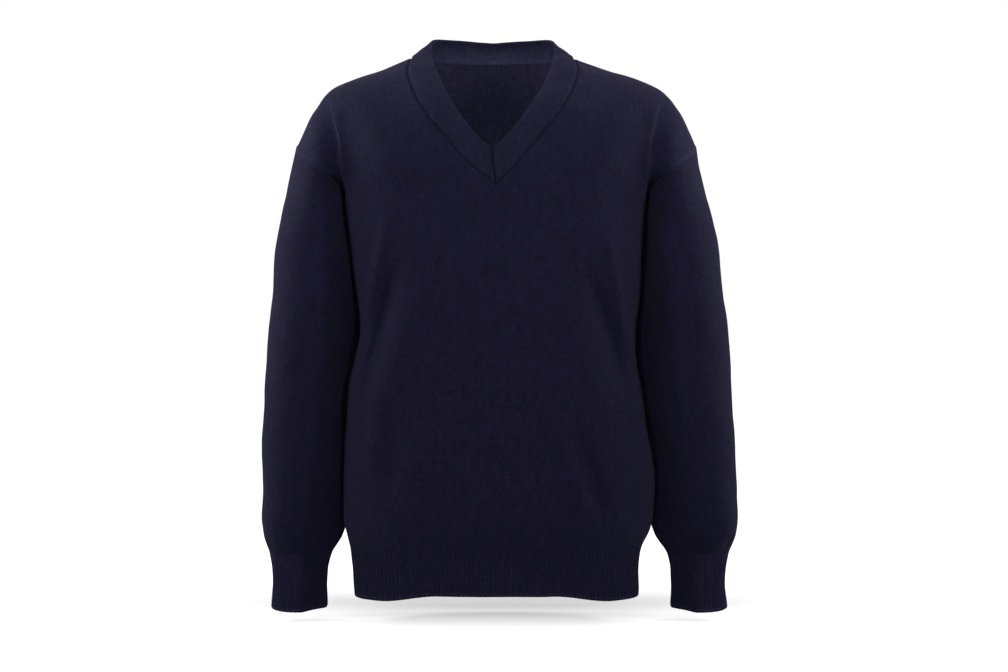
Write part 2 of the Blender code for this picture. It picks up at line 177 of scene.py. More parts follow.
SHOULDER = table(
    "along half y z",
    (0.00, 252.7, 12, -110.6),
    (0.12, 242, 12, -86.6),
    (0.21, 234, 12, -70),
    (0.29, 225, 12, -56),
    (0.39, 212, 12, -41.3),
    (0.56, 185, 12, -26),
    (0.80, 141, 12, -11),
    (1.00, 103, 12, 4),
)
FRONT_ARMHOLE = table(
    "along half y z",
    (0.00, 190, -8, -165),
    (0.12, 191, -25, -162.5),
    (0.26, 197, -43, -157),
    (0.47, 213, -57, -144),
    (0.68, 232, -47, -131),
    (0.88, 247, -17, -118),
    (1.00, 252.7, 12, -110.6),
)
BACK_ARMHOLE = table(
    "along half y z",
    (0.00, 190, -8, -165),
    (0.12, 190.5, 14, -163),
    (0.26, 195.5, 42, -158),
    (0.47, 211, 74, -148),
    (0.68, 230, 76, -135),
    (0.88, 246, 44, -120),
    (1.00, 252.7, 12, -110.6),
)
print("across the shoulders, from armhole to armhole:", 2 * SHOULDER["half"].max(), "mm")

# %% The sleeve's rings: middle, outer and inner edge, and its front and back
SLEEVE_ROUNDNESS = 2.2
SLEEVE_TURNED_IN = 1.0
SLEEVE = table(
    "height sway outer inner front back",
    (-240, 1.5, 278.5, 152, -60, 88),
    (-300, 2.5, 285.5, 150, -60, 89),
    (-350, 2.8, 290, 154, -59, 86),
    (-430, 3.1, 294.5, 162, -56, 80),
    (-500, 3.8, 297.5, 172, -52, 72),
    (-550, 4.4, 298.5, 182, -48, 66),
    (-580, 4.4, 298.5, 189, -45, 60),
    (-597, 4.2, 295.5, 196, -40, 51),
    (-608, 4.0, 291, 203.5, -33, 41),
    (-617, 4.0, 288, 209, -28, 34),
    (-630, 4.0, 285, 213.5, -25, 28),
    (-650, 4.0, 284, 215.5, -24, 26),
    (-684, 4.0, 286.5, 215.5, -25, 25),
)
print("cuff, across at its end:", SLEEVE["outer"][0] - SLEEVE["inner"][0], "mm")

# %% [markdown]
# ## Folds
#
# Filled out, the cloth hangs from the shoulders and is held in at the waist by the sleeves, so it
# pulls into long soft folds. Each one here is a streak: a ridge or a trough with a head, a foot, a
# width and a height. Listing them one row each keeps them as uneven as real ones. A cloth
# simulation would crumple the fine knit in folds of its own choosing, and not in these.

# %% The folds of the front and back, a row for each


def listed(columns, *rows):
    """A table as a list of rows, each with its columns by name."""
    return [dict(zip(columns.split(), row)) for row in rows]


FOLDS = listed(
    "face head_x head_z foot_x foot_z width height",
    # folds that fall from the chest to the waist, each a ridge with a trough on its inner side
    (-1, -126, -185, -168, -355, 8, 6.5),
    (-1, -112, -235, -164, -430, 9, -10.5),
    (-1, -92, -275, -156, -470, 17, 5.5),
    (-1, 132, -205, 168, -390, 8, 6.5),
    (-1, 106, -250, 164, -430, 10, -9.5),
    (-1, 80, -290, 140, -450, 16, 3.5),
    # below the waist
    (-1, 58, -425, 116, -572, 9, 5.0),
    (-1, 92, -435, 134, -582, 11, -5.5),
    (-1, -146, -400, -156, -530, 16, 4.5),
    (-1, -120, -440, -134, -570, 15, -3.0),
    (-1, -84, -450, -104, -575, 14, 1.8),
    # the pucker below the point of the V
    (-1, -5, -164, -2, -204, 5, 1.8),
    (-1, 5, -164, 10, -196, 5, -1.6),
    # faint ones across the middle
    (-1, -40, -300, -66, -470, 26, -1.8),
    (-1, 30, -330, 20, -500, 28, 1.6),
    (-1, 0, -210, -20, -330, 24, 1.2),
    # the back's
    (1, -203, -60, -186, -190, 9, 5.0),
    (1, 203, -60, 186, -190, 9, 5.0),
    (1, -108, -230, -142, -385, 20, 5.0),
    (1, 110, -240, 144, -395, 20, 5.0),
    (1, -30, -420, -95, -560, 20, 4.0),
    (1, 40, -400, 90, -560, 22, 4.0),
)
print(len(FOLDS), "folds, of which", sum(fold["face"] < 0 for fold in FOLDS), "are on the front")

# %% How a fold moves the cloth
FOLD_HEAD_SHARE = 0.35
FOLD_FOOT_SHARE = 0.3
FOLD_SIDE_FADE = 0.14


def ease(share):
    """0 below 0, 1 above 1, and a soft step between."""
    share = np.clip(share, 0, 1)
    return share * share * (3 - 2 * share)


def hump(away, width):
    """1 where away is 0, and down to nothing at some two widths from there."""
    return np.exp(-((away / width) ** 2))


def drape(face, across, x, z):
    """How far the folds carry a point of the body outwards. They fade out towards the side seams."""
    moved = np.zeros(np.broadcast(across, x, z).shape)
    for fold in FOLDS:
        if fold["face"] != face:
            continue
        run_x = fold["foot_x"] - fold["head_x"]
        run_z = fold["foot_z"] - fold["head_z"]
        length = math.hypot(run_x, run_z)
        along = ((x - fold["head_x"]) * run_x + (z - fold["head_z"]) * run_z) / length
        beside = ((x - fold["head_x"]) * run_z - (z - fold["head_z"]) * run_x) / length
        head = ease(along / (FOLD_HEAD_SHARE * length))
        foot = ease((length - along) / (FOLD_FOOT_SHARE * length))
        moved = moved + fold["height"] * head * foot * hump(beside, fold["width"])
    return moved * ease(across / FOLD_SIDE_FADE)


def folded(face, across, points):
    """A panel's points with its folds."""
    moved = points.copy()
    moved[..., 1] += face * drape(face, across, points[..., 0], points[..., 2])
    return moved


WAIST_Z = -376.0
waist = folded(-1, np.ones(3), np.array([(-150.0, 0, WAIST_Z), (0, 0, WAIST_Z), (150, 0, WAIST_Z)]))
print("at the waist the folds move the front by", np.round(-waist[:, 1], 1), "mm, from right to left")

# %% [markdown]
# ## The crease above each armpit
#
# From the armpit a crease runs up across the front of the shoulder, where the chest steps down to the
# arm. It isn't a streak like the others but a small cliff: a ridge on the chest's side, a sharp drop,
# and a slow climb back. So it follows a path of its own, and a point asks how far it is from the path
# and on which side of it.

# %% The crease
# its path in front of each shoulder, as places to the side and heights
CREASE_PATHS = {
    -1: ((-207, -46), (-199, -70), (-190, -106), (-185.5, -150), (-184, -185)),
    1: ((203, -50), (195, -74), (188, -106), (183.5, -150), (182.5, -185)),
}
CREASE_SAMPLES = 200
CREASE_RIDGE = 2.8
CREASE_RIDGE_WIDTH = 8.0
CREASE_VALLEY = 4.5
CREASE_DROP = 6.5
CREASE_RECOVERY = 26.0
CREASE_END = 26.0


def crease(side, points):
    """How far the armpit's crease carries a point of the front, in millimetres."""
    path = np.array(CREASE_PATHS[side], float)
    share = np.linspace(0, 1, CREASE_SAMPLES)
    knots = np.linspace(0, 1, len(path))
    line_x = np.interp(share, knots, path[:, 0])
    line_z = np.interp(share, knots, path[:, 1])
    away_x = points[..., 0, None] - line_x
    away_z = points[..., 2, None] - line_z
    away = np.hypot(away_x, away_z)
    nearest = away.argmin(axis=-1)
    distance = away.min(axis=-1)
    armward = np.take_along_axis(away_x, nearest[..., None], axis=-1)[..., 0] * side
    beside = np.where(armward > 0, distance, -distance)
    ridge = CREASE_RIDGE * hump(np.minimum(beside, 0), CREASE_RIDGE_WIDTH)
    drop = (CREASE_RIDGE + CREASE_VALLEY) * ease(beside / CREASE_DROP)
    back_up = CREASE_VALLEY * ease((beside - CREASE_DROP) / CREASE_RECOVERY)
    height = points[..., 2]
    ends = ease((line_z[0] - height) / CREASE_END) * ease((height - line_z[-1]) / CREASE_END)
    return (ridge - drop + back_up) * ends * (distance < CREASE_DROP + CREASE_RECOVERY)


print("the crease steps down", CREASE_RIDGE + CREASE_VALLEY, "mm within", CREASE_DROP, "mm")

# %% [markdown]
# ## The body's surface
#
# Below the armpit the body is a stack of rings. A ring isn't an ellipse: worn cloth is flatter in front
# and behind and turns more sharply at the sides, which a superellipse with a power a little over 2
# gives. Each of its four quarters has its own width and depth, because the sweater hangs unevenly.

# %% The body below the armpit
RING_SAMPLES = 2000


def points_of(x, y, z):
    return np.stack(np.broadcast_arrays(x, y, z), axis=-1).astype(float)


def body_shape(side, face, across, height):
    """The body's ring without its folds: across is 0 at the side seam and 1 at the centre."""
    half = read(TORSO, "left" if side > 0 else "right", height)
    depth = read(TORSO, "front" if face < 0 else "back", height)
    turn = across * math.pi / 2
    x = side * half * np.cos(turn) ** (2 / BODY_ROUNDNESS)
    y = SIDE_SEAM_Y + face * depth * np.sin(turn) ** (2 / BODY_ROUNDNESS)
    return points_of(x, y, height)


def body_point(side, face, across, height):
    return folded(face, across, body_shape(side, face, across, height))


def length_of(line):
    """How far it is along a row of points, in millimetres."""
    return float(np.linalg.norm(np.diff(line, axis=0), axis=1).sum())


def body_girth(height):
    """The body's ring at a height, measured all round."""
    share = np.linspace(0, 1, RING_SAMPLES)
    level = np.full_like(share, height)
    quarters = [body_shape(side, face, share, level) for side in (-1, 1) for face in (-1, 1)]
    return sum(length_of(quarter) for quarter in quarters)


print(f"body, all round: {body_girth(ARMPIT_Z):.0f} mm at the chest, {body_girth(HEM_Z):.0f} mm at the hem")

# %% [markdown]
# ## The panels above the armpit
#
# Each panel bends over from the armpit's ring to the shoulder seam, and has to meet the armhole and the
# neckline on its way. No stack of rings does that. So a column of the panel is a cubic curve with a
# start, an end and a direction at each, and the two edges are then pulled onto their seams.

# %% A bend between two ends


def way(x, y, z):
    return np.array((x, y, z), float)


def mix(first, second, share):
    return first + (second - first) * share[..., None]


def bend(start, start_way, end, end_way, share):
    """A cubic from start to end, leaving along start_way and arriving along end_way."""
    share = share[..., None]
    return (
        (1 + 2 * share) * (1 - share) ** 2 * start
        + share * (1 - share) ** 2 * start_way
        + share**2 * (3 - 2 * share) * end
        + share**2 * (share - 1) * end_way
    )


def curve_point(rows, side, along):
    """A point of one of the garment's edges, which mirror each other left and right."""
    return points_of(side * read(rows, "half", along), read(rows, "y", along), read(rows, "z", along))


shoulder_line = curve_point(SHOULDER, 1, np.linspace(0, 1, RING_SAMPLES))
print(f"shoulder seam: {length_of(shoulder_line):.0f} mm")

# %% The neck's place
NECK_SHIFT = -4.0
NECK_SHIFT_FADE_FROM = 100.0
NECK_SHIFT_FADE_TO = 200.0
NECK_SHIFT_START_Z = 40.0


def shift_to_neck(points):
    """The neck's small step sideways, which fades out along the shoulders and below the V."""
    beyond = (abs(points[..., 0]) - NECK_SHIFT_FADE_FROM) / (NECK_SHIFT_FADE_TO - NECK_SHIFT_FADE_FROM)
    high = ease((points[..., 2] - ARMPIT_Z) / NECK_SHIFT_START_Z)
    moved = points.copy()
    moved[..., 0] += NECK_SHIFT * (1 - ease(beyond)) * high
    return moved


print("the neck stands", -NECK_SHIFT, "mm towards the wearer's right")

# %% The columns of a panel
PANEL_FULLNESS = 1.15
ARM_REACH = 250.0
ARM_SPREAD = 45.0
ARM_RISE = 40.0
ARM_SHARE = 0.35
SHOULDER_SHARE_OF_BACK = 0.62
NECK_LEAN = 0.35
NECK_LEAN_SHARE = 0.6


def yoke_columns(side, face, across, rise):
    """The panel's columns from the armpit's level up to the shoulder seam or the back neckline."""
    start = body_shape(side, face, across, np.full_like(across, ARMPIT_Z))
    back_neck = np.zeros_like(across)
    along_shoulder = across
    if face > 0:
        along_shoulder = np.clip(across / SHOULDER_SHARE_OF_BACK, 0, 1)
        back_neck = np.clip((across - SHOULDER_SHARE_OF_BACK) / (1 - SHOULDER_SHARE_OF_BACK), 0, 1)
    end = curve_point(SHOULDER, side, along_shoulder)
    end = np.where(back_neck[..., None] > 0, curve_point(BACK_NECK, side, back_neck), end)
    reach = PANEL_FULLNESS * np.linalg.norm(end - start, axis=-1)[..., None]
    near_arm = ease(across / ARM_SHARE)
    start_way = mix(way(side * ARM_SPREAD, face * ARM_REACH, 0), reach * way(0, 0, 1), near_arm)
    level = reach * way(0, -face, 0)
    leaning = reach * way(0, -face * NECK_LEAN, 1 - NECK_LEAN)
    end_way = mix(level, leaning, ease(back_neck / NECK_LEAN_SHARE))
    end_way = mix(way(side * ARM_SPREAD, -face * ARM_REACH, ARM_RISE), end_way, near_arm)
    return bend(start, start_way, end, end_way, rise)


back_column = yoke_columns(1, 1, np.ones(RING_SAMPLES), np.linspace(0, 1, RING_SAMPLES))
print(f"back, from the armpit's level up to the neckline: {length_of(back_column):.0f} mm")

# %% The columns pulled onto the armhole and the neckline
NECK_SHARE_OF_FRONT = 0.6


def yoke_point(side, face, across, rise):
    """A point of a panel above the armpit: rise is 0 at the armpit's level and 1 at the top edge."""
    points = yoke_columns(side, face, across, rise)
    armhole = curve_point(FRONT_ARMHOLE if face < 0 else BACK_ARMHOLE, side, rise)
    at_armhole = yoke_columns(side, face, np.zeros_like(across), rise)
    points = points + (armhole - at_armhole) * ease(1 - across / ARM_SHARE)[..., None]
    if face < 0:
        neckline = curve_point(FRONT_NECK, side, rise)
        at_neckline = yoke_columns(side, face, np.ones_like(across), rise)
        near_neck = ease(1 - (1 - across) / NECK_SHARE_OF_FRONT)
        points = points + (neckline - at_neckline) * near_neck[..., None]
    return folded(face, across, shift_to_neck(points))


neckline = yoke_point(1, -1, np.ones(RING_SAMPLES), np.linspace(0, 1, RING_SAMPLES))
print(f"front neckline, from the V to the shoulder: {length_of(neckline):.0f} mm")

# %% [markdown]
# ## The sleeves' surface
#
# A sleeve is a stack of rings too, from the cuff up to the armhole, pressed flat where it lies against
# the body. Nothing holds the two apart on a real sweater, but cloth can't pass through cloth. So every
# point that would come too near the body is moved out beside it, by a soft rule without a kink.

# %% Clear of the body
SLEEVE_CLEARANCE = 2.6
SLEEVE_PRESS = 2.0
SLEEVE_CLEAR_FROM = 12.0


def clear_of_body(side, points):
    """Moves a sleeve's points out to lie beside the body, just clear of it."""
    x, y, z = np.moveaxis(points, -1, 0)
    half = read(TORSO, "left" if side > 0 else "right", z)
    depth = np.where(y < SIDE_SEAM_Y, read(TORSO, "front", z), read(TORSO, "back", z))
    share = np.clip(abs(y - SIDE_SEAM_Y) / depth, 0, 1)
    body = half * (1 - share**BODY_ROUNDNESS) ** (1 / BODY_ROUNDNESS)
    least = body + SLEEVE_CLEARANCE
    spare = (side * x - least) / SLEEVE_PRESS
    pressed = least + SLEEVE_PRESS * np.logaddexp(0, spare)
    below = ease((ARMPIT_Z - z) / SLEEVE_CLEAR_FROM)
    return points_of(x + below * (side * pressed - x), y, z)


moved_out = clear_of_body(1, points_of(170.0, SIDE_SEAM_Y, WAIST_Z))
print("at the waist a sleeve point at 170 mm moves out to", round(float(moved_out[0]), 1), "mm")

# %% The sleeve's tube
CUFF_TILT = 0.2


def sleeve_ring(side, turn, height):
    """A point of the sleeve's tube: turn runs from the inner side over the front and on all round."""
    outer = read(SLEEVE, "outer", height)
    inner = read(SLEEVE, "inner", height)
    front = read(SLEEVE, "front", height)
    back = read(SLEEVE, "back", height)
    # in front, the quarter next to the body turns away behind it
    quarter = np.sin(2 * turn) * (turn < math.pi / 2)
    power = 2 / (SLEEVE_ROUNDNESS - SLEEVE_TURNED_IN * quarter)
    swing_x = -np.cos(turn)
    swing_y = -np.sin(turn)
    x = (outer + inner) / 2 + (outer - inner) / 2 * np.sign(swing_x) * abs(swing_x) ** power
    y = (front + back) / 2 + (back - front) / 2 * np.sign(swing_y) * abs(swing_y) ** power
    below = ease((CUFF_SEAM_Z - height) / (CUFF_SEAM_Z - CUFF_Z))
    z = height + below * CUFF_TILT * (y - (front + back) / 2)
    return points_of(side * x + read(SLEEVE, "sway", height), y, z)


print("sleeve, half way down its front:", np.round(sleeve_ring(1, np.array(math.pi / 2), np.array(-400.0))))

# %% The sleeve's head
SLEEVE_TOP_IN = -0.1
SLEEVE_TOP_OUT = 0.17


def sleeve_top(side, around):
    """The sleeve's edge at the armhole: around runs 0 to 1 over the front and 1 to 2 over the back."""
    front = curve_point(FRONT_ARMHOLE, side, np.clip(around, 0, 1))
    back = curve_point(BACK_ARMHOLE, side, np.clip(2 - around, 0, 1))
    return shift_to_neck(np.where(around[..., None] <= 1, front, back))


def sleeve_head(side, around, fall):
    """The sleeve between the armhole, where fall is 0, and its tube, where fall is 1."""
    top = sleeve_top(side, around)
    turn = around * math.pi
    foot = sleeve_ring(side, turn, np.full_like(around, SLEEVE_TUBE_Z))
    below = sleeve_ring(side, turn, np.full_like(around, SLEEVE_TUBE_Z - 1))
    drop = (top[..., 2] - foot[..., 2])[..., None]
    outward = (1 - np.cos(turn)) / 2
    top_way = drop * mix(way(side * SLEEVE_TOP_IN, 0, -1), way(side * SLEEVE_TOP_OUT, 0, -1), outward)
    foot_way = drop * (below - foot)
    return bend(top, top_way, foot, foot_way, fall)


print(f"armhole: {length_of(sleeve_top(1, np.linspace(0, 2, RING_SAMPLES))):.0f} mm all round")

# %% [markdown]
# ## Seams
#
# On the real sweater the pieces are linked loop to loop, and every seam pulls the cloth in a little, so
# it shows as a fine groove with a soft roll beside it. A seam line is kept here as a row of points. Any
# point of the cloth can then ask how far away it is, and sinks or rises by that distance. A search tree
# answers that for all the points of the cloth in seconds.

# %% The seam lines as rows of points
SEAM_SAMPLES = 700


def seam_lines():
    """Every seam line by its name, in millimetres."""
    share = np.linspace(0, 1, SEAM_SAMPLES)
    turns = share * 2 * math.pi
    side_heights = np.linspace(HEM_Z, ARMPIT_Z, SEAM_SAMPLES)
    sleeve_heights = np.linspace(CUFF_Z, SLEEVE_TUBE_Z, SEAM_SAMPLES)

    def neck(side):
        edges = [curve_point(FRONT_NECK, side, share), curve_point(BACK_NECK, side, share)]
        return shift_to_neck(np.concatenate(edges))

    def hem(side):
        rings = [body_point(side, face, share, np.full_like(share, HEM_SEAM_Z)) for face in (-1, 1)]
        return np.concatenate(rings)

    lines = {
        "neck": neck,
        "armhole": lambda side: sleeve_top(side, share * 2),
        "shoulder": lambda side: shift_to_neck(curve_point(SHOULDER, side, share)),
        "side": lambda side: body_shape(side, -1, np.zeros_like(share), side_heights),
        "hem": hem,
        "cuff": lambda side: clear_of_body(side, sleeve_ring(side, turns, np.full_like(turns, CUFF_SEAM_Z))),
        "underarm": lambda side: clear_of_body(side, sleeve_ring(side, np.zeros_like(share), sleeve_heights)),
    }
    found = {name: np.concatenate([line(1), line(-1)]) for name, line in lines.items()}
    mitre = mix(curve_point(FRONT_NECK, 1, np.zeros(1)), curve_point(NECK_RIM, 1, np.zeros(1)), share)
    found["mitre"] = shift_to_neck(mitre)
    return found


def tree_of(points):
    """A search tree, which finds the nearest of many points quickly."""
    tree = kdtree.KDTree(len(points))
    for place, point in enumerate(points):
        tree.insert(point, place)
    tree.balance()
    return tree


SEAMS = {name: tree_of(points) for name, points in seam_lines().items()}
print("seam lines:", sorted(SEAMS))

# %% [markdown]
# ## What a seam does to the cloth
#
# Each kind of seam has a row: which line it follows, the depth and width of its groove, the height,
# distance and width of the roll beside it, how much painted shade darkens the groove, and how much
# painted highlight lightens the roll. A negative dark is a painted highlight in the groove instead, as
# along the armhole, where the linked loops stand up and catch the light. All sizes are in millimetres.

# %% The kinds of seam


def by_name(columns, *rows):
    """A table whose first column names its rows."""
    return {row["name"]: row for row in listed("name " + columns, *rows)}


# dark is painted shade in a groove, light a painted highlight on a roll; a negative dark paints a highlight
SEAM_SHAPES = by_name(
    "line depth width roll roll_at roll_width dark light",
    ("neck", "neck", 1.2, 1.7, 0.45, 5.0, 2.6, 0.30, 0.0),
    ("armhole", "armhole", 0.1, 1.5, 0.9, 3.0, 2.0, -0.35, 0.42),
    ("armhole_below", "armhole", 0.0, 1.5, 0.0, 3.6, 2.2, -0.40, 0.0),
    ("shoulder", "shoulder", 0.7, 1.8, 0.2, 5.0, 2.5, 0.20, 0.0),
    ("side", "side", 0.5, 1.8, 0.1, 5.0, 2.5, 0.25, 0.0),
    ("underarm", "underarm", 0.5, 1.8, 0.1, 5.0, 2.5, 0.25, 0.0),
    ("hem", "hem", 0.2, 2.5, 0.0, 5.0, 3.0, 0.0, 0.0),
    ("cuff", "cuff", 0.2, 2.5, 0.0, 5.0, 3.0, 0.0, 0.0),
    ("mitre", "mitre", 1.8, 1.1, 0.4, 3.4, 2.0, 0.55, 0.0),
)


def seam_distances(points, seams):
    """For each of a piece's seams, how far its line is from every point."""
    lines = {seam: SEAMS[SEAM_SHAPES[seam]["line"]] for seam in seams}
    return {seam: np.array([line.find(point)[2] for point in points]) for seam, line in lines.items()}


print("deepest groove:", max(shape["depth"] for shape in SEAM_SHAPES.values()), "mm")

# %% How far the seams move the cloth
ARMPIT_X = 190.0
ARMPIT_CALM = 8.0


def armpit_fade(points):
    """0 at the armpits, where body and sleeve meet back to back, and 1 away from them."""
    x, y, z = points.T
    away = np.sqrt((abs(x) - ARMPIT_X) ** 2 + (y - SIDE_SEAM_Y) ** 2 + (z - ARMPIT_Z) ** 2)
    return ease((away - ARMPIT_CALM) / ARMPIT_CALM)


def seam_relief(points, distances):
    """How far the seams move these points out of the cloth, in millimetres."""
    moved = np.zeros(len(points))
    for seam, away in distances.items():
        shape = SEAM_SHAPES[seam]
        moved -= shape["depth"] * hump(away, shape["width"])
        moved += shape["roll"] * hump(away - shape["roll_at"], shape["roll_width"])
    return moved * armpit_fade(points)


v_point = curve_point(FRONT_NECK, 1, np.zeros(1))
v_distances = seam_distances(v_point, ("neck", "mitre"))
print("at the point of the V the cloth moves by", np.round(seam_relief(v_point, v_distances), 2), "mm")

# %% Painted shade and highlights along the seams
GROOVE_SHADE_WIDTH = 1.3
# the neck seam's painted shade is faint near the shoulders and full down the lower part of the V
NECK_DARK_TOP_Z = -20.0
NECK_DARK_FULL_Z = -110.0
NECK_DARK_LEAST = 0.3
# painted shade at the armpits, where body and sleeve meet back to back
ARMPIT_PAINTED_SHADE = 0.35


def seam_tone(points, distances):
    """Painted shade in the seams' grooves and at the armpits, and painted highlights; 1 leaves the colour."""
    tone = np.ones(len(points))
    for seam, away in distances.items():
        shape = SEAM_SHAPES[seam]
        # painted shade in the groove, or a painted highlight where dark is negative
        dark = shape["dark"] * hump(away, GROOVE_SHADE_WIDTH)
        if seam == "neck":
            lower = ease((NECK_DARK_TOP_Z - points[:, 2]) / (NECK_DARK_TOP_Z - NECK_DARK_FULL_Z))
            dark *= NECK_DARK_LEAST + (1 - NECK_DARK_LEAST) * lower
        # painted highlight on the roll beside the groove
        rolled = hump(away - shape["roll_at"], shape["roll_width"])
        tone *= (1 - dark) * (1 + shape["light"] * rolled)
    return tone * (ARMPIT_PAINTED_SHADE + (1 - ARMPIT_PAINTED_SHADE) * armpit_fade(points))


# the painted shading at the point of the V, as a share of the yarn's own colour
print("and the yarn there is", np.round(seam_tone(v_point, v_distances), 2), "as light as elsewhere")

# %% [markdown]
# ## From a grid of points to a sheet
#
# A piece is one or more patches: grids of points that share their edges. Each point also has a place in
# the knit, counted in wales across and courses up, which becomes the UV map that the yarn follows. The
# steps of a grid are finer near its edges, where the seam's groove has to show, and the patches are
# joined by making every two points that lie in the same place one.

# %% Steps that are finer near an edge
EDGE_STEPS = (0.0, 0.7, 1.5, 2.5, 3.8, 5.4, 7.4)
CLOTH_STEP = 3.6


def steps(length, size, fine_start=True, fine_end=True, close_to=0.0):
    """Places from 0 to 1 along a length, closer near its ends, and half a size apart up to close_to."""
    start = list(EDGE_STEPS) if fine_start else [0.0]
    if close_to > start[-1]:
        start += list(np.arange(start[-1] + size / 2, close_to, size / 2))
    end = [length - step for step in reversed(EDGE_STEPS)] if fine_end else [length]
    inner = np.linspace(start[-1], end[0], max(2, round((end[0] - start[-1]) / size) + 1))
    return np.concatenate([start[:-1], inner, end[1:]]) / length


def heights(foot, top, fine_end=True):
    """Heights from foot to top, closer near the ends."""
    return foot + steps(top - foot, CLOTH_STEP, True, fine_end) * (top - foot)


def grid_of(rows, columns):
    """Every pair of the two lists, as two arrays with a row for each item of the first."""
    return np.meshgrid(np.array(rows, float), np.array(columns, float), indexing="ij")


print("rows of the body below the armpits:", len(heights(HEM_SEAM_Z, ARMPIT_Z, False)))

# %% A patch, and patches joined
JOIN_STEP = 0.02


def patch(points, wale, course, relief=0.0, free=False):
    """A grid of cloth. free is True where an edge ends in the air and gets a rounded rim."""
    shape = points.shape[:2]
    return {
        "points": points,
        "grain": np.stack([np.broadcast_to(wale, shape), np.broadcast_to(course, shape)], axis=-1),
        "relief": np.broadcast_to(relief, shape),
        "free": np.broadcast_to(free, shape),
    }


def quads_of(patches):
    """The faces of the patches, as the numbers of their corners."""
    quads = []
    start = 0
    for piece in patches:
        rows, columns = piece["points"].shape[:2]
        index = start + np.arange(rows * columns).reshape(rows, columns)
        corners = [index[:-1, :-1], index[:-1, 1:], index[1:, 1:], index[1:, :-1]]
        quads.append(np.stack(corners, axis=-1).reshape(-1, 4))
        start += rows * columns
    return np.concatenate(quads)


def joined(patches):
    """The patches as one sheet, whose grain is kept for each corner of each quad."""
    points = np.concatenate([piece["points"].reshape(-1, 3) for piece in patches])
    grain = np.concatenate([piece["grain"].reshape(-1, 2) for piece in patches])
    relief = np.concatenate([piece["relief"].reshape(-1) for piece in patches])
    free = np.concatenate([piece["free"].reshape(-1) for piece in patches])
    _, first, shared = np.unique(np.round(points / JOIN_STEP), axis=0, return_index=True, return_inverse=True)
    quads = quads_of(patches)
    return {
        "points": points[first],
        "relief": relief[first],
        "free": free[first],
        "quads": shared.reshape(-1)[quads],
        "grain": grain[quads],
    }


sheets = {}
print("a patch of 3 by 4 points has", len(quads_of([patch(np.zeros((3, 4, 3)), 0, 0)])), "quads")

# %% [markdown]
# ## The front and the back
#
# Each is one length of jersey. Its wales run straight up from the hem, also where the body narrows, and
# end where the neckline or the armhole cuts them off. So below the armpit a wale is counted round the
# ring, and above it by how far it stands to the side.

# %% Where the wales of a panel lie
WALE = 2.75
COURSE = 2.0
CREASED_ZONE = 80.0


def run_along(points, axis):
    """How far each point lies from the first one along its row or column, on the cloth."""
    hops = np.linalg.norm(np.diff(points, axis=axis), axis=-1)
    start = np.zeros_like(np.take(hops, [0], axis=axis))
    return np.concatenate([start, np.cumsum(hops, axis=axis)], axis=axis)


def ring_arc(side, face):
    """The armpit's ring from the side seam to the centre: across, x and the way along the cloth."""
    across = np.linspace(0, 1, RING_SAMPLES)
    points = body_shape(side, face, across, np.full_like(across, ARMPIT_Z))
    return across, abs(points[:, 0]), run_along(points[None], 1)[0]


def panel_columns(side, face):
    """The columns of half a panel, evenly spaced along its ring, with finer steps at the side."""
    across, _, arc = ring_arc(side, face)
    close_to = CREASED_ZONE if face < 0 else 0.0
    return np.interp(steps(arc[-1], CLOTH_STEP, True, face < 0, close_to) * arc[-1], arc, across)


def wale_at(side, face, across):
    """The wale of a column, counted from the centre."""
    ring, _, arc = ring_arc(side, face)
    return side * (arc[-1] - np.interp(across, ring, arc)) / WALE


def wale_above(side, face, points):
    """The wale of a point above the armpit, from how far it stands to the side."""
    _, half, arc = ring_arc(side, face)
    reach = side * points[..., 0]
    inside = np.interp(reach, half[::-1], (arc[-1] - arc)[::-1])
    return side * (inside + np.maximum(reach - half[0], 0) + np.minimum(reach, 0)) / WALE


print("wales across the front:", round(2 * ring_arc(1, -1)[2][-1] / WALE))

# %% Build the front and the back
YOKE_LENGTH = 200.0


def panel_relief(side, face, points):
    return crease(side, points) if face < 0 else 0.0


def half_body(side, face):
    height, across = grid_of(heights(HEM_SEAM_Z, ARMPIT_Z, False), panel_columns(side, face))
    points = body_point(side, face, across, height)
    course = (height - HEM_SEAM_Z) / COURSE
    return patch(points, wale_at(side, face, across), course, panel_relief(side, face, points))


def half_yoke(side, face):
    rise, across = grid_of(steps(YOKE_LENGTH, CLOTH_STEP, False, True), panel_columns(side, face))
    points = yoke_point(side, face, across, rise)
    course = (ARMPIT_Z - HEM_SEAM_Z + run_along(points, 0)) / COURSE
    return patch(points, wale_above(side, face, points), course, panel_relief(side, face, points))


def turned(side, face, piece):
    """Seen from outside, the columns of every patch run from left to right."""
    if side == face:
        return piece
    return {name: values[:, ::-1] for name, values in piece.items()}


for node, face in (("front_panel", -1), ("back_panel", 1)):
    halves = [turned(side, face, half(side, face)) for half in (half_body, half_yoke) for side in (1, -1)]
    sheets[node] = joined(halves)
    print(node, "has", len(sheets[node]["quads"]), "quads")

# %% [markdown]
# ## The sleeves
#
# A sleeve is a tube of jersey, sewn up along its inner side and into the armhole. The rib of the cuff
# gathers it at the wrist, so it bags a little just above and falls into small pleats there. Down its
# inner side it turns away behind the body, which leaves a long shallow trough.

# %% The pleats and the trough of a sleeve
GATHERS = 15
GATHER_HEIGHT = 0.9
GATHER_REACH = 34.0
GATHER_STEEPNESS = 3.0
GATHER_FADES_FROM = 0.3
GATHER_UNEVEN = 0.4
GATHER_UNEVEN_TURNS = 7.3
GATHER_UNEVEN_START = 1.0
GATHER_SWAY = 1.6
GATHER_SWAY_TURNS = 5.1
CROOK_AT = 0.20
CROOK_WIDTH = 0.14
CROOK_DEPTH = 3.0
CROOK_TOP_Z = -160.0
CROOK_FOOT_Z = -590.0
CROOK_FADE = 70.0


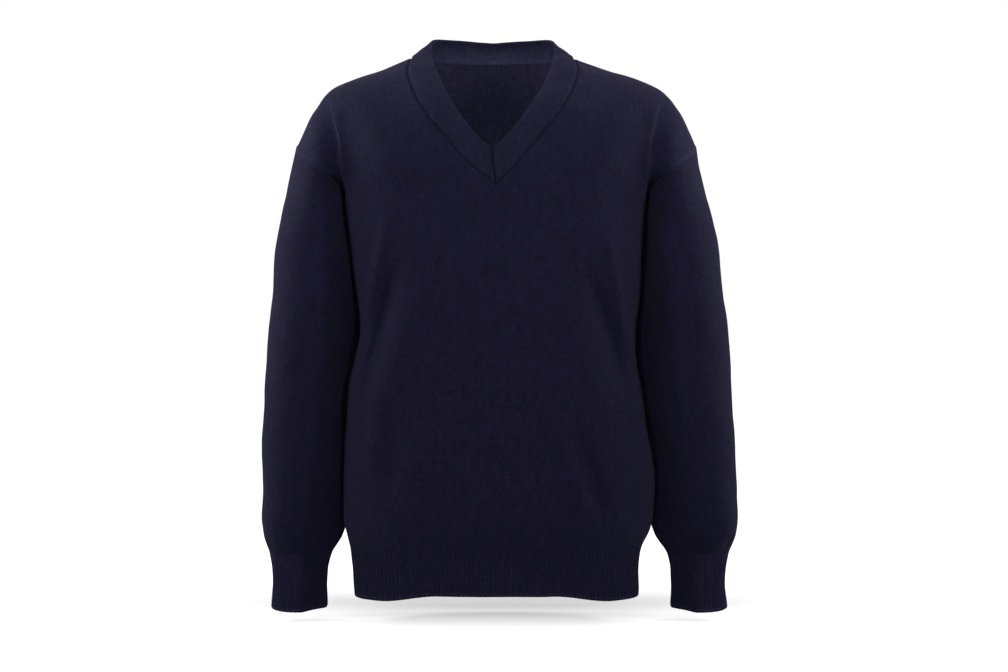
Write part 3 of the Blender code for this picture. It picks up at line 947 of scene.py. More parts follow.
def gathers(around, height):
    """Small pleats above the cuff, deepest just above the join, and no two of them alike."""
    rise = (height - CUFF_SEAM_Z) / GATHER_REACH
    fade = ease((rise - GATHER_FADES_FROM) / (1 - GATHER_FADES_FROM))
    strength = ease(rise * GATHER_STEEPNESS) * (1 - fade)
    swing = np.sin(around * GATHER_UNEVEN_TURNS + GATHER_UNEVEN_START)
    uneven = 1 - GATHER_UNEVEN + GATHER_UNEVEN * swing
    pleats = np.sin(around * math.pi * GATHERS + GATHER_SWAY * np.sin(around * GATHER_SWAY_TURNS))
    return GATHER_HEIGHT * strength * uneven * pleats


def crook(around, height):
    """The long trough down the sleeve's inner side, before and behind its seam."""
    reach = ease((CROOK_TOP_Z - height) / CROOK_FADE) * ease((height - CROOK_FOOT_Z) / CROOK_FADE)
    front = hump(around - CROOK_AT, CROOK_WIDTH)
    back = hump(2 - around - CROOK_AT, CROOK_WIDTH)
    return -reach * CROOK_DEPTH * (front + back)


print(GATHERS, "pleats above each cuff, at most", GATHER_HEIGHT, "mm high")

# %% Build the sleeves
SLEEVE_COLUMNS = 112
SLEEVE_WALES = 146
OTHER_SLEEVE_WALES = 500
SLEEVE_HEAD_LENGTH = 100.0


def sleeve_wale(side, around):
    """The wale of a column. The right sleeve starts far from the left, so their streaks are unlike."""
    return around / 2 * SLEEVE_WALES + (OTHER_SLEEVE_WALES if side < 0 else 0)


def sleeve_patches(side):
    """The tube from the cuff up to the armpit's level, and the head from there to the armhole."""
    columns = np.linspace(0, 2, SLEEVE_COLUMNS + 1)
    height, around = grid_of(heights(CUFF_SEAM_Z, SLEEVE_TUBE_Z, False), columns)
    points = clear_of_body(side, sleeve_ring(side, around * math.pi, height))
    relief = gathers(around, height) + crook(around, height)
    tube = patch(points, sleeve_wale(side, around), (height - CUFF_SEAM_Z) / COURSE, relief)
    fall, around = grid_of(1 - steps(SLEEVE_HEAD_LENGTH, CLOTH_STEP, False, True), columns)
    points = clear_of_body(side, sleeve_head(side, around, fall))
    course = (SLEEVE_TUBE_Z - CUFF_SEAM_Z + run_along(points, 0)) / COURSE
    head = patch(points, sleeve_wale(side, around), course, crook(around, points[..., 2]))
    return [turned(side, 1, tube), turned(side, 1, head)]


for node, side in (("sleeve_left", 1), ("sleeve_right", -1)):
    sheets[node] = joined(sleeve_patches(side))
    print(node, "has", len(sheets[node]["quads"]), "quads")

# %% [markdown]
# ## The ribs
#
# Hem, cuffs and neckband are rib. Their ridges are wide enough to be real relief, which catches the
# light at the edges and scallops the outline. A ridge is round on top and meets the next one in a
# narrow valley, so its section is the root of a half sine wave.

# %% The section of a rib
SAMPLES_PER_RIB = 8
# the power that rounds a ridge off, and the share of its height that lies within the cloth's own level
RIB_ROUNDING = 0.6
RIB_SUNK = 0.6


def rib_relief(ribs, height):
    """Round ridges with narrow valleys between them, for places counted in ribs."""
    return height * (np.abs(np.sin(ribs * math.pi)) ** RIB_ROUNDING - RIB_SUNK)


print("a rib 1 mm high, from valley to ridge:", np.round(rib_relief(np.linspace(0, 0.5, 5), 1.0), 2))

# %% Build the hem
HEM_RIBS = 88
HEM_RIB_HEIGHT = 0.95
HEM_RIB_TOP_FADE = 16.0
HEM_RISE = 9.0
HEM_RISE_FROM = 145.0
HEM_RISE_OVER = 75.0


def hem_point(side, face, across, height):
    """A point of the hem rib, whose lower edge lifts towards the middle of the front."""
    point = body_point(side, face, across, height)
    if face < 0:
        lifted = HEM_RISE * ease((HEM_RISE_FROM - abs(point[..., 0])) / HEM_RISE_OVER)
        point[..., 2] += lifted * (HEM_SEAM_Z - height) / (HEM_SEAM_Z - HEM_Z)
    return point


def half_hem(side, face):
    ring, _, arc = ring_arc(side, face)
    columns = np.interp(np.linspace(0, arc[-1], HEM_RIBS // 2 * SAMPLES_PER_RIB + 1), arc, ring)
    height, across = grid_of(heights(HEM_Z, HEM_SEAM_Z), columns)
    points = hem_point(side, face, across, height)
    ribs = np.interp(across, ring, arc) / arc[-1] * (HEM_RIBS // 2)
    relief = rib_relief(ribs, HEM_RIB_HEIGHT) * ease((HEM_SEAM_Z - height) / HEM_RIB_TOP_FADE)
    return patch(points, side * ribs, (height - HEM_Z) / COURSE, relief, height == HEM_Z)


for node, face in (("front_hem_rib", -1), ("back_hem_rib", 1)):
    sheets[node] = joined([turned(side, face, half_hem(side, face)) for side in (1, -1)])
    print(node, "has", HEM_RIBS, "ribs")

# %% Build the cuffs
CUFF_RIBS = 48
CUFF_RIB_HEIGHT = 0.8
CUFF_RIB_TOP_FADE = 12.0


def cuff_patch(side):
    height, around = grid_of(heights(CUFF_Z, CUFF_SEAM_Z), np.linspace(0, 2, CUFF_RIBS * SAMPLES_PER_RIB + 1))
    points = clear_of_body(side, sleeve_ring(side, around * math.pi, height))
    ribs = around / 2 * CUFF_RIBS
    relief = rib_relief(ribs, CUFF_RIB_HEIGHT) * ease((CUFF_SEAM_Z - height) / CUFF_RIB_TOP_FADE)
    return patch(points, ribs, (height - CUFF_Z) / COURSE, relief, height == CUFF_Z)


for node, side in (("cuff_left", 1), ("cuff_right", -1)):
    sheets[node] = joined([turned(side, 1, cuff_patch(side))])
    print(node, "has", CUFF_RIBS, "ribs")

# %% [markdown]
# ## The neckband
#
# One strip of fine rib, folded double and linked to the neckline, with its two ends mitred where they
# meet at the point of the V. Its ribs run across the strip, from the seam to the folded rim. It stands
# out a little between the two, like a shallow roll. The strip is swept between two lines that share one
# count of ribs, the neckline and the rim, so that every rib runs straight from one to the other.

# %% The neckband's two edges
NECKBAND_RIBS = 206


def neckband_edges():
    """The seam and the rim, from the V up the left side, round the back and down to the V again."""
    share = np.linspace(0, 1, NECKBAND_RIBS // 2 * SAMPLES_PER_RIB + 1)
    shoulder_at = FRONT_NECK_LENGTH / (FRONT_NECK_LENGTH + BACK_NECK_LENGTH)
    halves = []
    for side in (1, -1):
        front = curve_point(FRONT_NECK, side, share / shoulder_at)
        back = curve_point(BACK_NECK, side, (share - shoulder_at) / (1 - shoulder_at))
        seam = shift_to_neck(np.where(share[:, None] <= shoulder_at, front, back))
        halves.append(np.stack([seam, shift_to_neck(curve_point(NECK_RIM, side, share))]))
    left, right = halves
    return np.concatenate([left, right[:, -2::-1]], axis=1)


print("neckband:", [round(length_of(edge)) for edge in neckband_edges()], "mm along its seam and its rim")

# %% Build the neckband
NECKBAND_WIDTH = 29.0
NECKBAND_STEP = 2.6
NECKBAND_BULGE = 4.6
NECKBAND_FLAT_SHARE = 0.35
NECKBAND_RIB_HEIGHT = 0.5
RIM_EASE = 0.12
RIM_RIB_SHARE = 0.4
NO_LENGTH = 1e-12


def normed(vectors):
    """The vectors at a length of 1. One with no length at all stays so."""
    return vectors / np.maximum(np.linalg.norm(vectors, axis=1, keepdims=True), NO_LENGTH)


def neckband_patch():
    """The strip between its two edges, bulged out everywhere but near the point of the V."""
    seam, rim = neckband_edges()
    ribs = np.arange(len(seam)) / SAMPLES_PER_RIB
    out = normed(np.cross(np.gradient((seam + rim) / 2, axis=0), rim - seam))
    from_v = np.minimum(ribs, ribs[::-1]) / (NECKBAND_RIBS / 2)
    height = NECKBAND_BULGE * ease(from_v / NECKBAND_FLAT_SHARE)
    rise = steps(NECKBAND_WIDTH, NECKBAND_STEP)
    strip = seam + (rim - seam) * rise[:, None, None]
    strip = strip + (height[:, None] * out) * (4 * rise * (1 - rise))[:, None, None]
    relief = rib_relief(ribs, NECKBAND_RIB_HEIGHT) * ease((1 - rise) / RIM_EASE + RIM_RIB_SHARE)[:, None]
    course = (rise * NECKBAND_WIDTH / COURSE)[:, None]
    return patch(strip, ribs, course, relief, (rise == 1)[:, None])


sheets["neckband"] = joined([neckband_patch()])
print("neckband has", NECKBAND_RIBS, "ribs and", len(sheets["neckband"]["quads"]), "quads")

# %% [markdown]
# ## Which way is out
#
# All the sheets exist now, but they have no thickness yet. Each point will move along its normal, the
# way out of the cloth. At a seam two sheets have to move in and out together, or light would show
# between them, so each looks up its neighbour's edge and takes the middle of the two normals. Where
# they point nearly opposite ways, as at the armpit, each sheet keeps its own.

# %% Normals and open edges


def way_out(sheet):
    """Each point's normal, from the faces round it."""
    quads = sheet["quads"]
    corners = sheet["points"][quads]
    normals = np.cross(corners[:, 2] - corners[:, 0], corners[:, 3] - corners[:, 1])
    total = np.zeros_like(sheet["points"])
    for corner in range(4):
        np.add.at(total, quads[:, corner], normals)
    return normed(total)


def border_of(sheet):
    """The sheet's open edges, each from one point to the next as its face runs."""
    quads = sheet["quads"]
    ends = np.concatenate([quads[:, [corner, (corner + 1) % 4]] for corner in range(4)])
    _, first, count = np.unique(np.sort(ends, axis=1), axis=0, return_index=True, return_counts=True)
    return ends[first[count == 1]]


print("points on the open edges:", {name: len(border_of(sheet)) for name, sheet in sheets.items()})

# %% Normals that agree along the seams
SEAM_REACH = 2.5
SEAM_AGREEMENT = 0.6
edge_ways = {}
for name, sheet in sheets.items():
    edge = np.unique(border_of(sheet))
    edge_ways[name] = (tree_of(sheet["points"][edge]), way_out(sheet)[edge])


def seam_ways(name):
    """The normals of a sheet, made one with its neighbours' along the seams, so that no seam gapes."""
    sheet = sheets[name]
    out = way_out(sheet)
    edge = np.unique(border_of(sheet))
    total = out[edge].copy()
    for other, (tree, ways) in edge_ways.items():
        if other == name:
            continue
        for place, point in enumerate(sheet["points"][edge]):
            _, nearest, away = tree.find(point)
            if away < SEAM_REACH:
                total[place] += ways[nearest]
    size = np.linalg.norm(total, axis=1)
    agreed = size > SEAM_AGREEMENT
    out[edge[agreed]] = total[agreed] / size[agreed, None]
    return out


print("sheets whose edges can be looked up:", len(edge_ways))

# %% [markdown]
# ## Soft unevenness
#
# No stretch of real cloth is perfectly smooth, and a shape worked out by formulas is, which the eye
# notices at once. A few slow waves across the whole sweater, none in step with another, take that away.
# They are worked out from a point's place, so they run on across the seams.

# %% Slow waves in the cloth
WAVES = listed(
    "along_x along_y along_z start height",
    (0.021, 0.033, 0.050, 0.4, 0.50),
    (-0.046, 0.020, 0.031, 1.9, 0.42),
    (0.067, -0.041, 0.018, 4.1, 0.30),
    (0.012, 0.072, -0.083, 2.7, 0.26),
    (0.110, 0.061, 0.074, 0.9, 0.16),
    (-0.094, 0.130, 0.121, 5.2, 0.12),
    (0.230, 0.190, -0.160, 3.3, 0.06),
    (-0.260, 0.140, 0.240, 1.2, 0.05),
)


def unevenness(points):
    """A slow swell and dip of the cloth, in millimetres. Waves are in radians for each millimetre."""
    moved = np.zeros(len(points))
    for wave in WAVES:
        ways = np.array([wave["along_x"], wave["along_y"], wave["along_z"]])
        moved += wave["height"] * np.sin(points @ ways + wave["start"])
    return moved


print("the waves together are at most", round(sum(wave["height"] for wave in WAVES), 2), "mm high")

# %% [markdown]
# ## Two faces and a rim
#
# A piece of cloth is a closed body: the outer face, an inner face one wall further in, and a rim that
# joins them. The inner face follows only part of the outer one's relief, as the back of a knit does.
# Where the band is linked to the panels the cloth is thicker. Where a piece ends in the air its rim is
# round, as a folded rib is, and at a seam it is nearly flat, so that it meets its neighbour's. Blender's
# Solidify makes an even wall with one kind of rim, so this one is worked out point by point.

# %% The outer and the inner face
INNER_RELIEF = 0.5
LEAST_WALL = 0.9
LINKING_WALL = 2.8
LINKING_WIDTH = 1.6


def linking(distances, count):
    """1 on the row of loops that links the neckband to the panels, and 0 away from it."""
    return hump(distances["neck"], LINKING_WIDTH) if "neck" in distances else np.zeros(count)


def two_faces(sheet, out, wall, distances):
    """The points of the outer and of the inner face."""
    points = sheet["points"]
    swell = sheet["relief"] + unevenness(points)
    moved = swell + seam_relief(points, distances)
    thicker = (LINKING_WALL - wall) * linking(distances, len(points))
    inwards = np.minimum(swell, INNER_RELIEF * swell) - wall - thicker
    outer = points + out * moved[:, None]
    inner = points + out * np.minimum(inwards, moved - LEAST_WALL)[:, None]
    return outer, inner


print("the cloth is nowhere thinner than", LEAST_WALL, "mm")

# %% The rim between them
RIM_SEGMENTS = 4
SEAM_LIP = 0.7


def off_the_edge(points, border, out):
    """At each point of the open edge, the way off the sheet."""
    along = points[border[:, 1]] - points[border[:, 0]]
    total = np.zeros_like(points)
    for end in (0, 1):
        np.add.at(total, border[:, end], np.cross(along, out[border[:, end]]))
    return normed(total)


def rim_rings(outer, inner, sideways, free):
    """The rows of points between two edges, on half a circle, or on a low arc at a seam."""
    middle = (outer + inner) / 2
    radius = (outer - inner) / 2
    reach = np.where(free[:, None], np.linalg.norm(radius, axis=1, keepdims=True), SEAM_LIP)
    rings = []
    for segment in range(1, RIM_SEGMENTS):
        turn = math.pi * segment / RIM_SEGMENTS
        bulge = sideways * reach * math.sin(turn)
        rings.append(middle + radius * math.cos(turn) + bulge)
    return rings


def rim_faces(border, count):
    """The rim's quads. Its rows are numbered after both faces of the cloth, which have count points each."""
    edge = np.unique(border)
    place = np.full(count, -1)
    place[edge] = np.arange(len(edge))
    rows = [2 * count + ring * len(edge) + place[border] for ring in range(RIM_SEGMENTS - 1)]
    rows = [border] + rows + [border + count]
    strips = zip(rows[:-1], rows[1:])
    return [np.stack([near[:, 1], near[:, 0], far[:, 0], far[:, 1]], axis=1) for near, far in strips]


print("a rim has", RIM_SEGMENTS, "strips of quads")

# %% Painted light and shade at each point
# painted highlights along a folded rib's lower rim and inside along the linking row; painted shade inside at
# the armpits
RIM_LIGHT_AT = 2.2
RIM_LIGHT_WIDTH = 1.3
LINKING_LIGHT = 0.22
INSIDE_LEAST_LIGHT = 0.15


def tones(points, grain, distances, piece):
    """Painted light and shade on the outer and the inner face, as multiples of the yarn's colour."""
    # a painted highlight just above a folded rib's lower rim, where the fold would catch light
    from_rim = grain[:, 1] * COURSE - RIM_LIGHT_AT
    tone = seam_tone(points, distances) * (1 + piece["rim_light"] * hump(from_rim, RIM_LIGHT_WIDTH))
    # a painted highlight on the inner face along the linking row
    linked = 1 + LINKING_LIGHT * linking(distances, len(points))
    # painted shade on the inner face near the armpits
    painted_armpit_shade = np.maximum(armpit_fade(points), INSIDE_LEAST_LIGHT)
    # the inner face is painted lighter than the outer, as if lit, and so is the cuffs' outer face
    return tone * piece["outside"], piece["inside"] * linked * painted_armpit_shade


# the lightness printed here is a painted highlight, not lighter yarn
print("the yarn is lighter", RIM_LIGHT_AT, "mm above a folded rim, and inside where the band is linked on")

# %% The whole body of a piece


def shell(name, piece):
    """A closed body of cloth: points in millimetres, quads, their grain, and each point's painted shading."""
    sheet = sheets[name]
    points = sheet["points"]
    quads = sheet["quads"]
    count = len(points)
    distances = seam_distances(points, piece["seams"])
    out = seam_ways(name)
    outer, inner = two_faces(sheet, out, piece["wall"], distances)
    border = border_of(sheet)
    edge = np.unique(border)
    sideways = off_the_edge(points, border, out)[edge]
    rings = rim_rings(outer[edge], inner[edge], sideways, sheet["free"][edge])
    point_grain = np.zeros((count, 2))
    point_grain[quads] = sheet["grain"]
    outer_tone, inner_tone = tones(points, point_grain, distances, piece)
    faces = [quads, quads[:, ::-1] + count] + rim_faces(border, count)
    rim_grain = point_grain[border[:, [1, 0, 0, 1]]]
    return {
        "points": np.concatenate([outer, inner] + rings),
        "faces": np.concatenate(faces),
        "grain": np.concatenate([sheet["grain"], sheet["grain"][:, ::-1]] + [rim_grain] * RIM_SEGMENTS),
        # each point's painted light and shade; the rim takes the outer face's
        "tone": np.concatenate([outer_tone, inner_tone] + [outer_tone[edge]] * len(rings)),
    }


print("sheets ready to be given their thickness:", sorted(sheets))

# %% [markdown]
# ## The yarn
#
# Up close, plain jersey is columns of small V shapes, the wales. Rib turns every other group of columns
# over, so that it stands in ridges. At arm's length neither shows as more than a fine grain, and what
# the eye reads is how the yarn takes light: navy and matt, with a pale bloom where the fibres are seen
# edge on. So the stitches are a bump that follows the knit's own UV map, and the bloom is sheen.

# %% Helpers for shader nodes


class Nodes:
    """Adds nodes to a material or a world and wires them as they are made."""

    def __init__(self, owner):
        owner.use_nodes = True
        self.tree = owner.node_tree

    def add(self, kind, **settings):
        node = self.tree.nodes.new(kind)
        for name, value in settings.items():
            setattr(node, name, value)
        return node

    def put(self, value, socket):
        """A wire where the value comes from another node, and else the value itself."""
        if isinstance(value, bpy.types.NodeSocket):
            self.tree.links.new(value, socket)
        else:
            socket.default_value = value

    def math(self, operation, *values):
        node = self.add("ShaderNodeMath", operation=operation)
        for value, socket in zip(values, node.inputs):
            self.put(value, socket)
        return node.outputs[0]

    def vector(self, operation, *values):
        node = self.add("ShaderNodeVectorMath", operation=operation)
        for value, socket in zip(values, node.inputs):
            self.put(value, socket)
        return node

    def noise(self, where, scale, detail, roughness):
        node = self.add("ShaderNodeTexNoise")
        self.put(where, node.inputs["Vector"])
        self.put(scale, node.inputs["Scale"])
        self.put(detail, node.inputs["Detail"])
        self.put(roughness, node.inputs["Roughness"])
        return node.outputs["Fac"]

    def ramp(self, value, from_low, from_high, to_low, to_high):
        node = self.add("ShaderNodeMapRange")
        self.put(value, node.inputs["Value"])
        self.put(from_low, node.inputs["From Min"])
        self.put(from_high, node.inputs["From Max"])
        self.put(to_low, node.inputs["To Min"])
        self.put(to_high, node.inputs["To Max"])
        return node.outputs["Result"]

    def mixed(self, share, first, second):
        node = self.add("ShaderNodeMix", data_type="RGBA")
        self.put(share, node.inputs["Factor"])
        self.put(first, node.inputs["A"])
        self.put(second, node.inputs["B"])
        return node.outputs["Result"]

    def bump(self, height, distance, strength):
        node = self.add("ShaderNodeBump")
        self.put(height, node.inputs["Height"])
        self.put(distance, node.inputs["Distance"])
        self.put(strength, node.inputs["Strength"])
        return node


print("ways to add a node:", [name for name in vars(Nodes) if not name.startswith("_")])

# %% The stitches
LEG_SLANT = 0.9
LOOP_SWELL = 0.35


def stitches(nodes, grain):
    """The height of the V stitches, on a map counted in wales and courses."""
    split = nodes.add("ShaderNodeSeparateXYZ")
    nodes.put(grain, split.inputs["Vector"])
    # 0 at the middle of a wale and 1 between two wales
    centred = nodes.math("SUBTRACT", nodes.math("FRACT", split.outputs["X"]), 0.5)
    off_middle = nodes.math("MULTIPLY", nodes.math("ABSOLUTE", centred), 2.0)
    # each wale has two legs of yarn, which lean together and make the V
    leg = nodes.math("SINE", nodes.math("MULTIPLY", off_middle, math.pi))
    climb = nodes.math("ADD", split.outputs["Y"], nodes.math("MULTIPLY", off_middle, -LEG_SLANT))
    loop = nodes.math("SINE", nodes.math("MULTIPLY", climb, 2 * math.pi))
    swell = nodes.math("ADD", nodes.math("MULTIPLY", loop, LOOP_SWELL), 1 - LOOP_SWELL)
    return nodes.math("MULTIPLY", leg, swell)


print(f"stitches in 100 mm: {100 / WALE:.0f} across and {100 / COURSE:.0f} up")

# %% [markdown]
# ## The yarn's colour
#
# Dyed yarn is never one flat navy. The fibres mottle it and the yarn's uneven thickness leaves faint
# streaks along the wales. The gaps between the stitches are painted a little darker, as shade. These three
# are added up and blend two shades of the yarn. Each piece then carries painted shading: painted shade in
# the grooves of the seams and at the armpits, painted highlights on some rolls and rims, and the inner
# face painted lighter, as if lit.

# %% Mottling, streaks and two shades of the yarn
MOTTLE_SCALE = 190.0
MOTTLE_DETAIL = 4.0
MOTTLE_ROUGHNESS = 0.8
STREAK_SCALE = 0.42
STREAK_STRETCH = (1.0, 0.09, 1.0)
STREAK_DETAIL = 3.0
STREAK_ROUGHNESS = 0.7
MOTTLE_SHARE = 0.80
STREAK_SHARE = 0.20
# the stitches' share paints the gaps between them a little darker: painted shade
STITCH_SHARE = 0.06
DARK_AT = 0.36
LIGHT_AT = 0.68
YARN_CONTRAST = 0.34


def streaks(nodes, grain):
    """Faint streaks along the wales: a noise that is stretched along the courses' count."""
    stretched = nodes.vector("MULTIPLY", grain, STREAK_STRETCH).outputs[0]
    return nodes.noise(stretched, STREAK_SCALE, STREAK_DETAIL, STREAK_ROUGHNESS)


def two_shades(nodes, colour, mottle, streak, stitch):
    """The yarn's colour, lighter and darker with mottling and streaks, and painted shade between stitches."""
    most = nodes.math("MULTIPLY", mottle, MOTTLE_SHARE)
    some = nodes.math("MULTIPLY", streak, STREAK_SHARE)
    shade = nodes.math("ADD", nodes.math("ADD", most, some), nodes.math("MULTIPLY", stitch, STITCH_SHARE))
    dark = (*(part * (1 - YARN_CONTRAST) for part in colour), 1.0)
    light = (*(part * (1 + YARN_CONTRAST) for part in colour), 1.0)
    return nodes.mixed(nodes.ramp(shade, DARK_AT, LIGHT_AT, 0.0, 1.0), dark, light)


print(f"the largest mottles are about {1 / (MOTTLE_SCALE * MM):.0f} mm across")

# %% The painted shading
# where the painted shading makes the yarn lighter, it also makes it a little greyer
INSIDE_FADE = 0.12


def toned(nodes, colour):
    """The colour times the painted shading; where that is lighter, as inside, it is a little greyer."""
    tone = nodes.add("ShaderNodeAttribute", attribute_name="tone").outputs["Fac"]
    shaded = nodes.vector("SCALE", colour)
    nodes.put(tone, shaded.inputs["Scale"])
    faded = nodes.add("ShaderNodeHueSaturation")
    nodes.put(shaded.outputs[0], faded.inputs["Color"])
    fade = nodes.math("ADD", nodes.math("MULTIPLY", tone, -INSIDE_FADE), 1.0 + INSIDE_FADE)
    nodes.put(fade, faded.inputs["Saturation"])
    return faded.outputs["Color"]


# the greying that comes with painted light, for cloth painted twice as light
print(f"cloth twice as light keeps {1 - INSIDE_FADE:.2f} of its saturation")

# %% Specks of lint
LINT_SCALE = 0.03
LINT_SIZE = 0.009
LINT_COLOUR = (0.06, 0.055, 0.085, 1.0)


def with_lint(nodes, grain, colour, lint):
    """A speck of pale lint here and there: in a share of the cells, near the cell's middle."""
    cells = nodes.add("ShaderNodeTexVoronoi", voronoi_dimensions="2D")
    nodes.put(grain, cells.inputs["Vector"])
    nodes.put(LINT_SCALE, cells.inputs["Scale"])
    near = nodes.math("LESS_THAN", cells.outputs["Distance"], LINT_SIZE)
    chance = nodes.add("ShaderNodeSeparateColor")
    nodes.put(cells.outputs["Color"], chance.inputs["Color"])
    chosen = nodes.math("LESS_THAN", chance.outputs["Red"], lint)
    return nodes.mixed(nodes.math("MULTIPLY", near, chosen), colour, LINT_COLOUR)


print(f"a cell with a speck or none is {WALE / LINT_SCALE:.0f} mm wide and {COURSE / LINT_SCALE:.0f} mm high")

# %% The three yarns
FUZZ_DEPTH = 0.003
FUZZ_STRENGTH = 0.6
STITCH_STRENGTH = 0.8
YARN_GLOSS = 0.10
SHEEN_WEIGHT = 0.10
SHEEN_ROUGHNESS = 0.30
SHEEN_TINT = (0.66, 0.62, 1.0, 1.0)


def knit(name, colour, stitch_depth, roughness, lint=0.0):
    """A knitted yarn: V stitches on the grain map, mottling, streaks along the wales and sheen."""
    material = bpy.data.materials.new(name)
    nodes = Nodes(material)
    grain = nodes.add("ShaderNodeUVMap", uv_map="grain").outputs["UV"]
    place = nodes.add("ShaderNodeTexCoord").outputs["Object"]
    stitch = stitches(nodes, grain)
    mottle = nodes.noise(place, MOTTLE_SCALE, MOTTLE_DETAIL, MOTTLE_ROUGHNESS)
    # the yarn's colour times the piece's painted light and shade
    yarn = toned(nodes, two_shades(nodes, colour, mottle, streaks(nodes, grain), stitch))
    fuzz = nodes.bump(mottle, FUZZ_DEPTH, FUZZ_STRENGTH)
    knitted = nodes.bump(stitch, stitch_depth, STITCH_STRENGTH)
    nodes.put(fuzz.outputs["Normal"], knitted.inputs["Normal"])
    shader = material.node_tree.nodes["Principled BSDF"]
    nodes.put(with_lint(nodes, grain, yarn, lint), shader.inputs["Base Color"])
    nodes.put(knitted.outputs["Normal"], shader.inputs["Normal"])
    shader.inputs["Roughness"].default_value = roughness
    shader.inputs["Specular IOR Level"].default_value = YARN_GLOSS
    shader.inputs["Sheen Weight"].default_value = SHEEN_WEIGHT
    shader.inputs["Sheen Roughness"].default_value = SHEEN_ROUGHNESS
    shader.inputs["Sheen Tint"].default_value = SHEEN_TINT
    return material


JERSEY_YARN = knit("navy_jersey", (0.0148, 0.0131, 0.0398), 0.0006, 0.92, lint=0.35)
RIB_YARN = knit("navy_rib", (0.0156, 0.0138, 0.0395), 0.0005, 0.93)
BAND_YARN = knit("navy_band", (0.0170, 0.0155, 0.0425), 0.0005, 0.90)
print("yarns:", [yarn.name for yarn in (JERSEY_YARN, RIB_YARN, BAND_YARN)])

# %% [markdown]
# ## Sewing
#
# Now each piece gets its thickness, its seams and its yarn, and becomes a Blender object that stands for
# its plain wall in the frame. A row for each piece says how thick it is, which seams shape it, which
# yarn it is knitted in, how much painted light its inner and its outer face get, and its painted
# highlight at a folded rim.

# %% From arrays to a Blender mesh
SHARP_ANGLE = math.radians(75)


def add_piece(name, node, body, material):
    """The cloth as an object that rides on the root and stands for a node of the frame."""
    points = (body["points"] * MM).astype(np.float32)
    faces = body["faces"].astype(np.int32)
    mesh = bpy.data.meshes.new(name)
    mesh.vertices.add(len(points))
    mesh.vertices.foreach_set("co", points.ravel())
    mesh.loops.add(faces.size)
    mesh.loops.foreach_set("vertex_index", faces.ravel())
    mesh.polygons.add(len(faces))
    mesh.polygons.foreach_set("loop_start", np.arange(0, faces.size, 4, dtype=np.int32))
    mesh.update(calc_edges=True)
    mesh.uv_layers.new(name="grain").data.foreach_set("uv", body["grain"].astype(np.float32).ravel())
    # each point's painted light and shade, which the yarn's colour is multiplied by
    mesh.attributes.new("tone", "FLOAT", "POINT").data.foreach_set("value", body["tone"].astype(np.float32))
    mesh.shade_smooth()
    mesh.set_sharp_from_angle(angle=SHARP_ANGLE)
    mesh.validate()
    mesh.materials.append(material)
    piece = bpy.data.objects.new(name, mesh)
    bpy.context.scene.collection.objects.link(piece)
    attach(piece, "root")
    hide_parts(node)
    area = sum(face.area for face in mesh.polygons) / 2
    print(f"{name}: {2 * len(faces)} triangles, {area:.4f} m2 of cloth")


print(f"edges sharper than {math.degrees(SHARP_ANGLE):.0f} degrees are shaded sharp")

# %% Sew the pieces
JERSEY_WALL = 2.2
RIB_WALL = 2.6
NECKBAND_WALL = 3.0
# how much lighter a folded rib's lower rim is painted: a painted highlight
RIM_LIGHT = 0.55
PANEL_SEAMS = ("neck", "armhole", "shoulder", "side", "hem")
SLEEVE_SEAMS = ("armhole_below", "underarm", "cuff")
HEM_SEAMS = ("side", "hem")
CUFF_SEAMS = ("underarm", "cuff")
BAND_SEAMS = ("neck", "mitre")
# inside and outside paint a face lighter, as if lit: the inner face 1.8 to 2.25 times, the cuffs' outer face
# 1.2 times
PIECES = by_name(
    "wall seams yarn slot inside outside rim_light",
    ("front_panel", JERSEY_WALL, PANEL_SEAMS, JERSEY_YARN, "jersey", 2.25, 1.0, 0.0),
    ("back_panel", JERSEY_WALL, PANEL_SEAMS, JERSEY_YARN, "jersey", 2.25, 1.0, 0.0),
    ("sleeve_left", JERSEY_WALL, SLEEVE_SEAMS, JERSEY_YARN, "jersey", 1.8, 1.0, 0.0),
    ("sleeve_right", JERSEY_WALL, SLEEVE_SEAMS, JERSEY_YARN, "jersey", 1.8, 1.0, 0.0),
    ("front_hem_rib", RIB_WALL, HEM_SEAMS, RIB_YARN, "rib", 1.8, 1.0, RIM_LIGHT),
    ("back_hem_rib", RIB_WALL, HEM_SEAMS, RIB_YARN, "rib", 1.8, 1.0, RIM_LIGHT),
    ("cuff_left", RIB_WALL, CUFF_SEAMS, RIB_YARN, "rib", 1.8, 1.2, RIM_LIGHT),
    ("cuff_right", RIB_WALL, CUFF_SEAMS, RIB_YARN, "rib", 1.8, 1.2, RIM_LIGHT),
    ("neckband", NECKBAND_WALL, BAND_SEAMS, BAND_YARN, "neck_rib", 1.8, 1.0, 0.0),
)
for name, piece in PIECES.items():
    add_piece(name + "_cloth", name, shell(name, piece), piece["yarn"])

# %% [markdown]
# ## The floor
#
# The sweater hangs just above a sheet of white paper, which takes its soft shadow. In a studio the paper
# is lit from all sides until it is as white as the room. Lamps strong enough for that would wash out the
# navy, so the paper glows by itself, where the camera sees it. The glow is weaker in a long oval under
# the sweater: a painted shadow, which joins the real one that the lamps cast.

# %% The pale floor
FLOOR_Z = -0.703
FLOOR_SIZE = 60.0
FLOOR_COLOUR = (0.62, 0.62, 0.62, 1.0)
FLOOR_ROUGHNESS = 0.9
GLOW_COLOUR = (1.0, 1.0, 1.0, 1.0)
# a painted shadow: the glow is weakest in a long oval under the sweater and full beyond it
PAINTED_SHADOW_GLOW = 0.29
GLOW_AROUND = 1.0
PAINTED_SHADOW_FROM = 0.05
PAINTED_SHADOW_TO = 0.25
PAINTED_SHADOW_MIDDLE = (0.0, 0.18, 0.0)
PAINTED_SHADOW_STRETCH = (0.36, 1.0, 1.0)


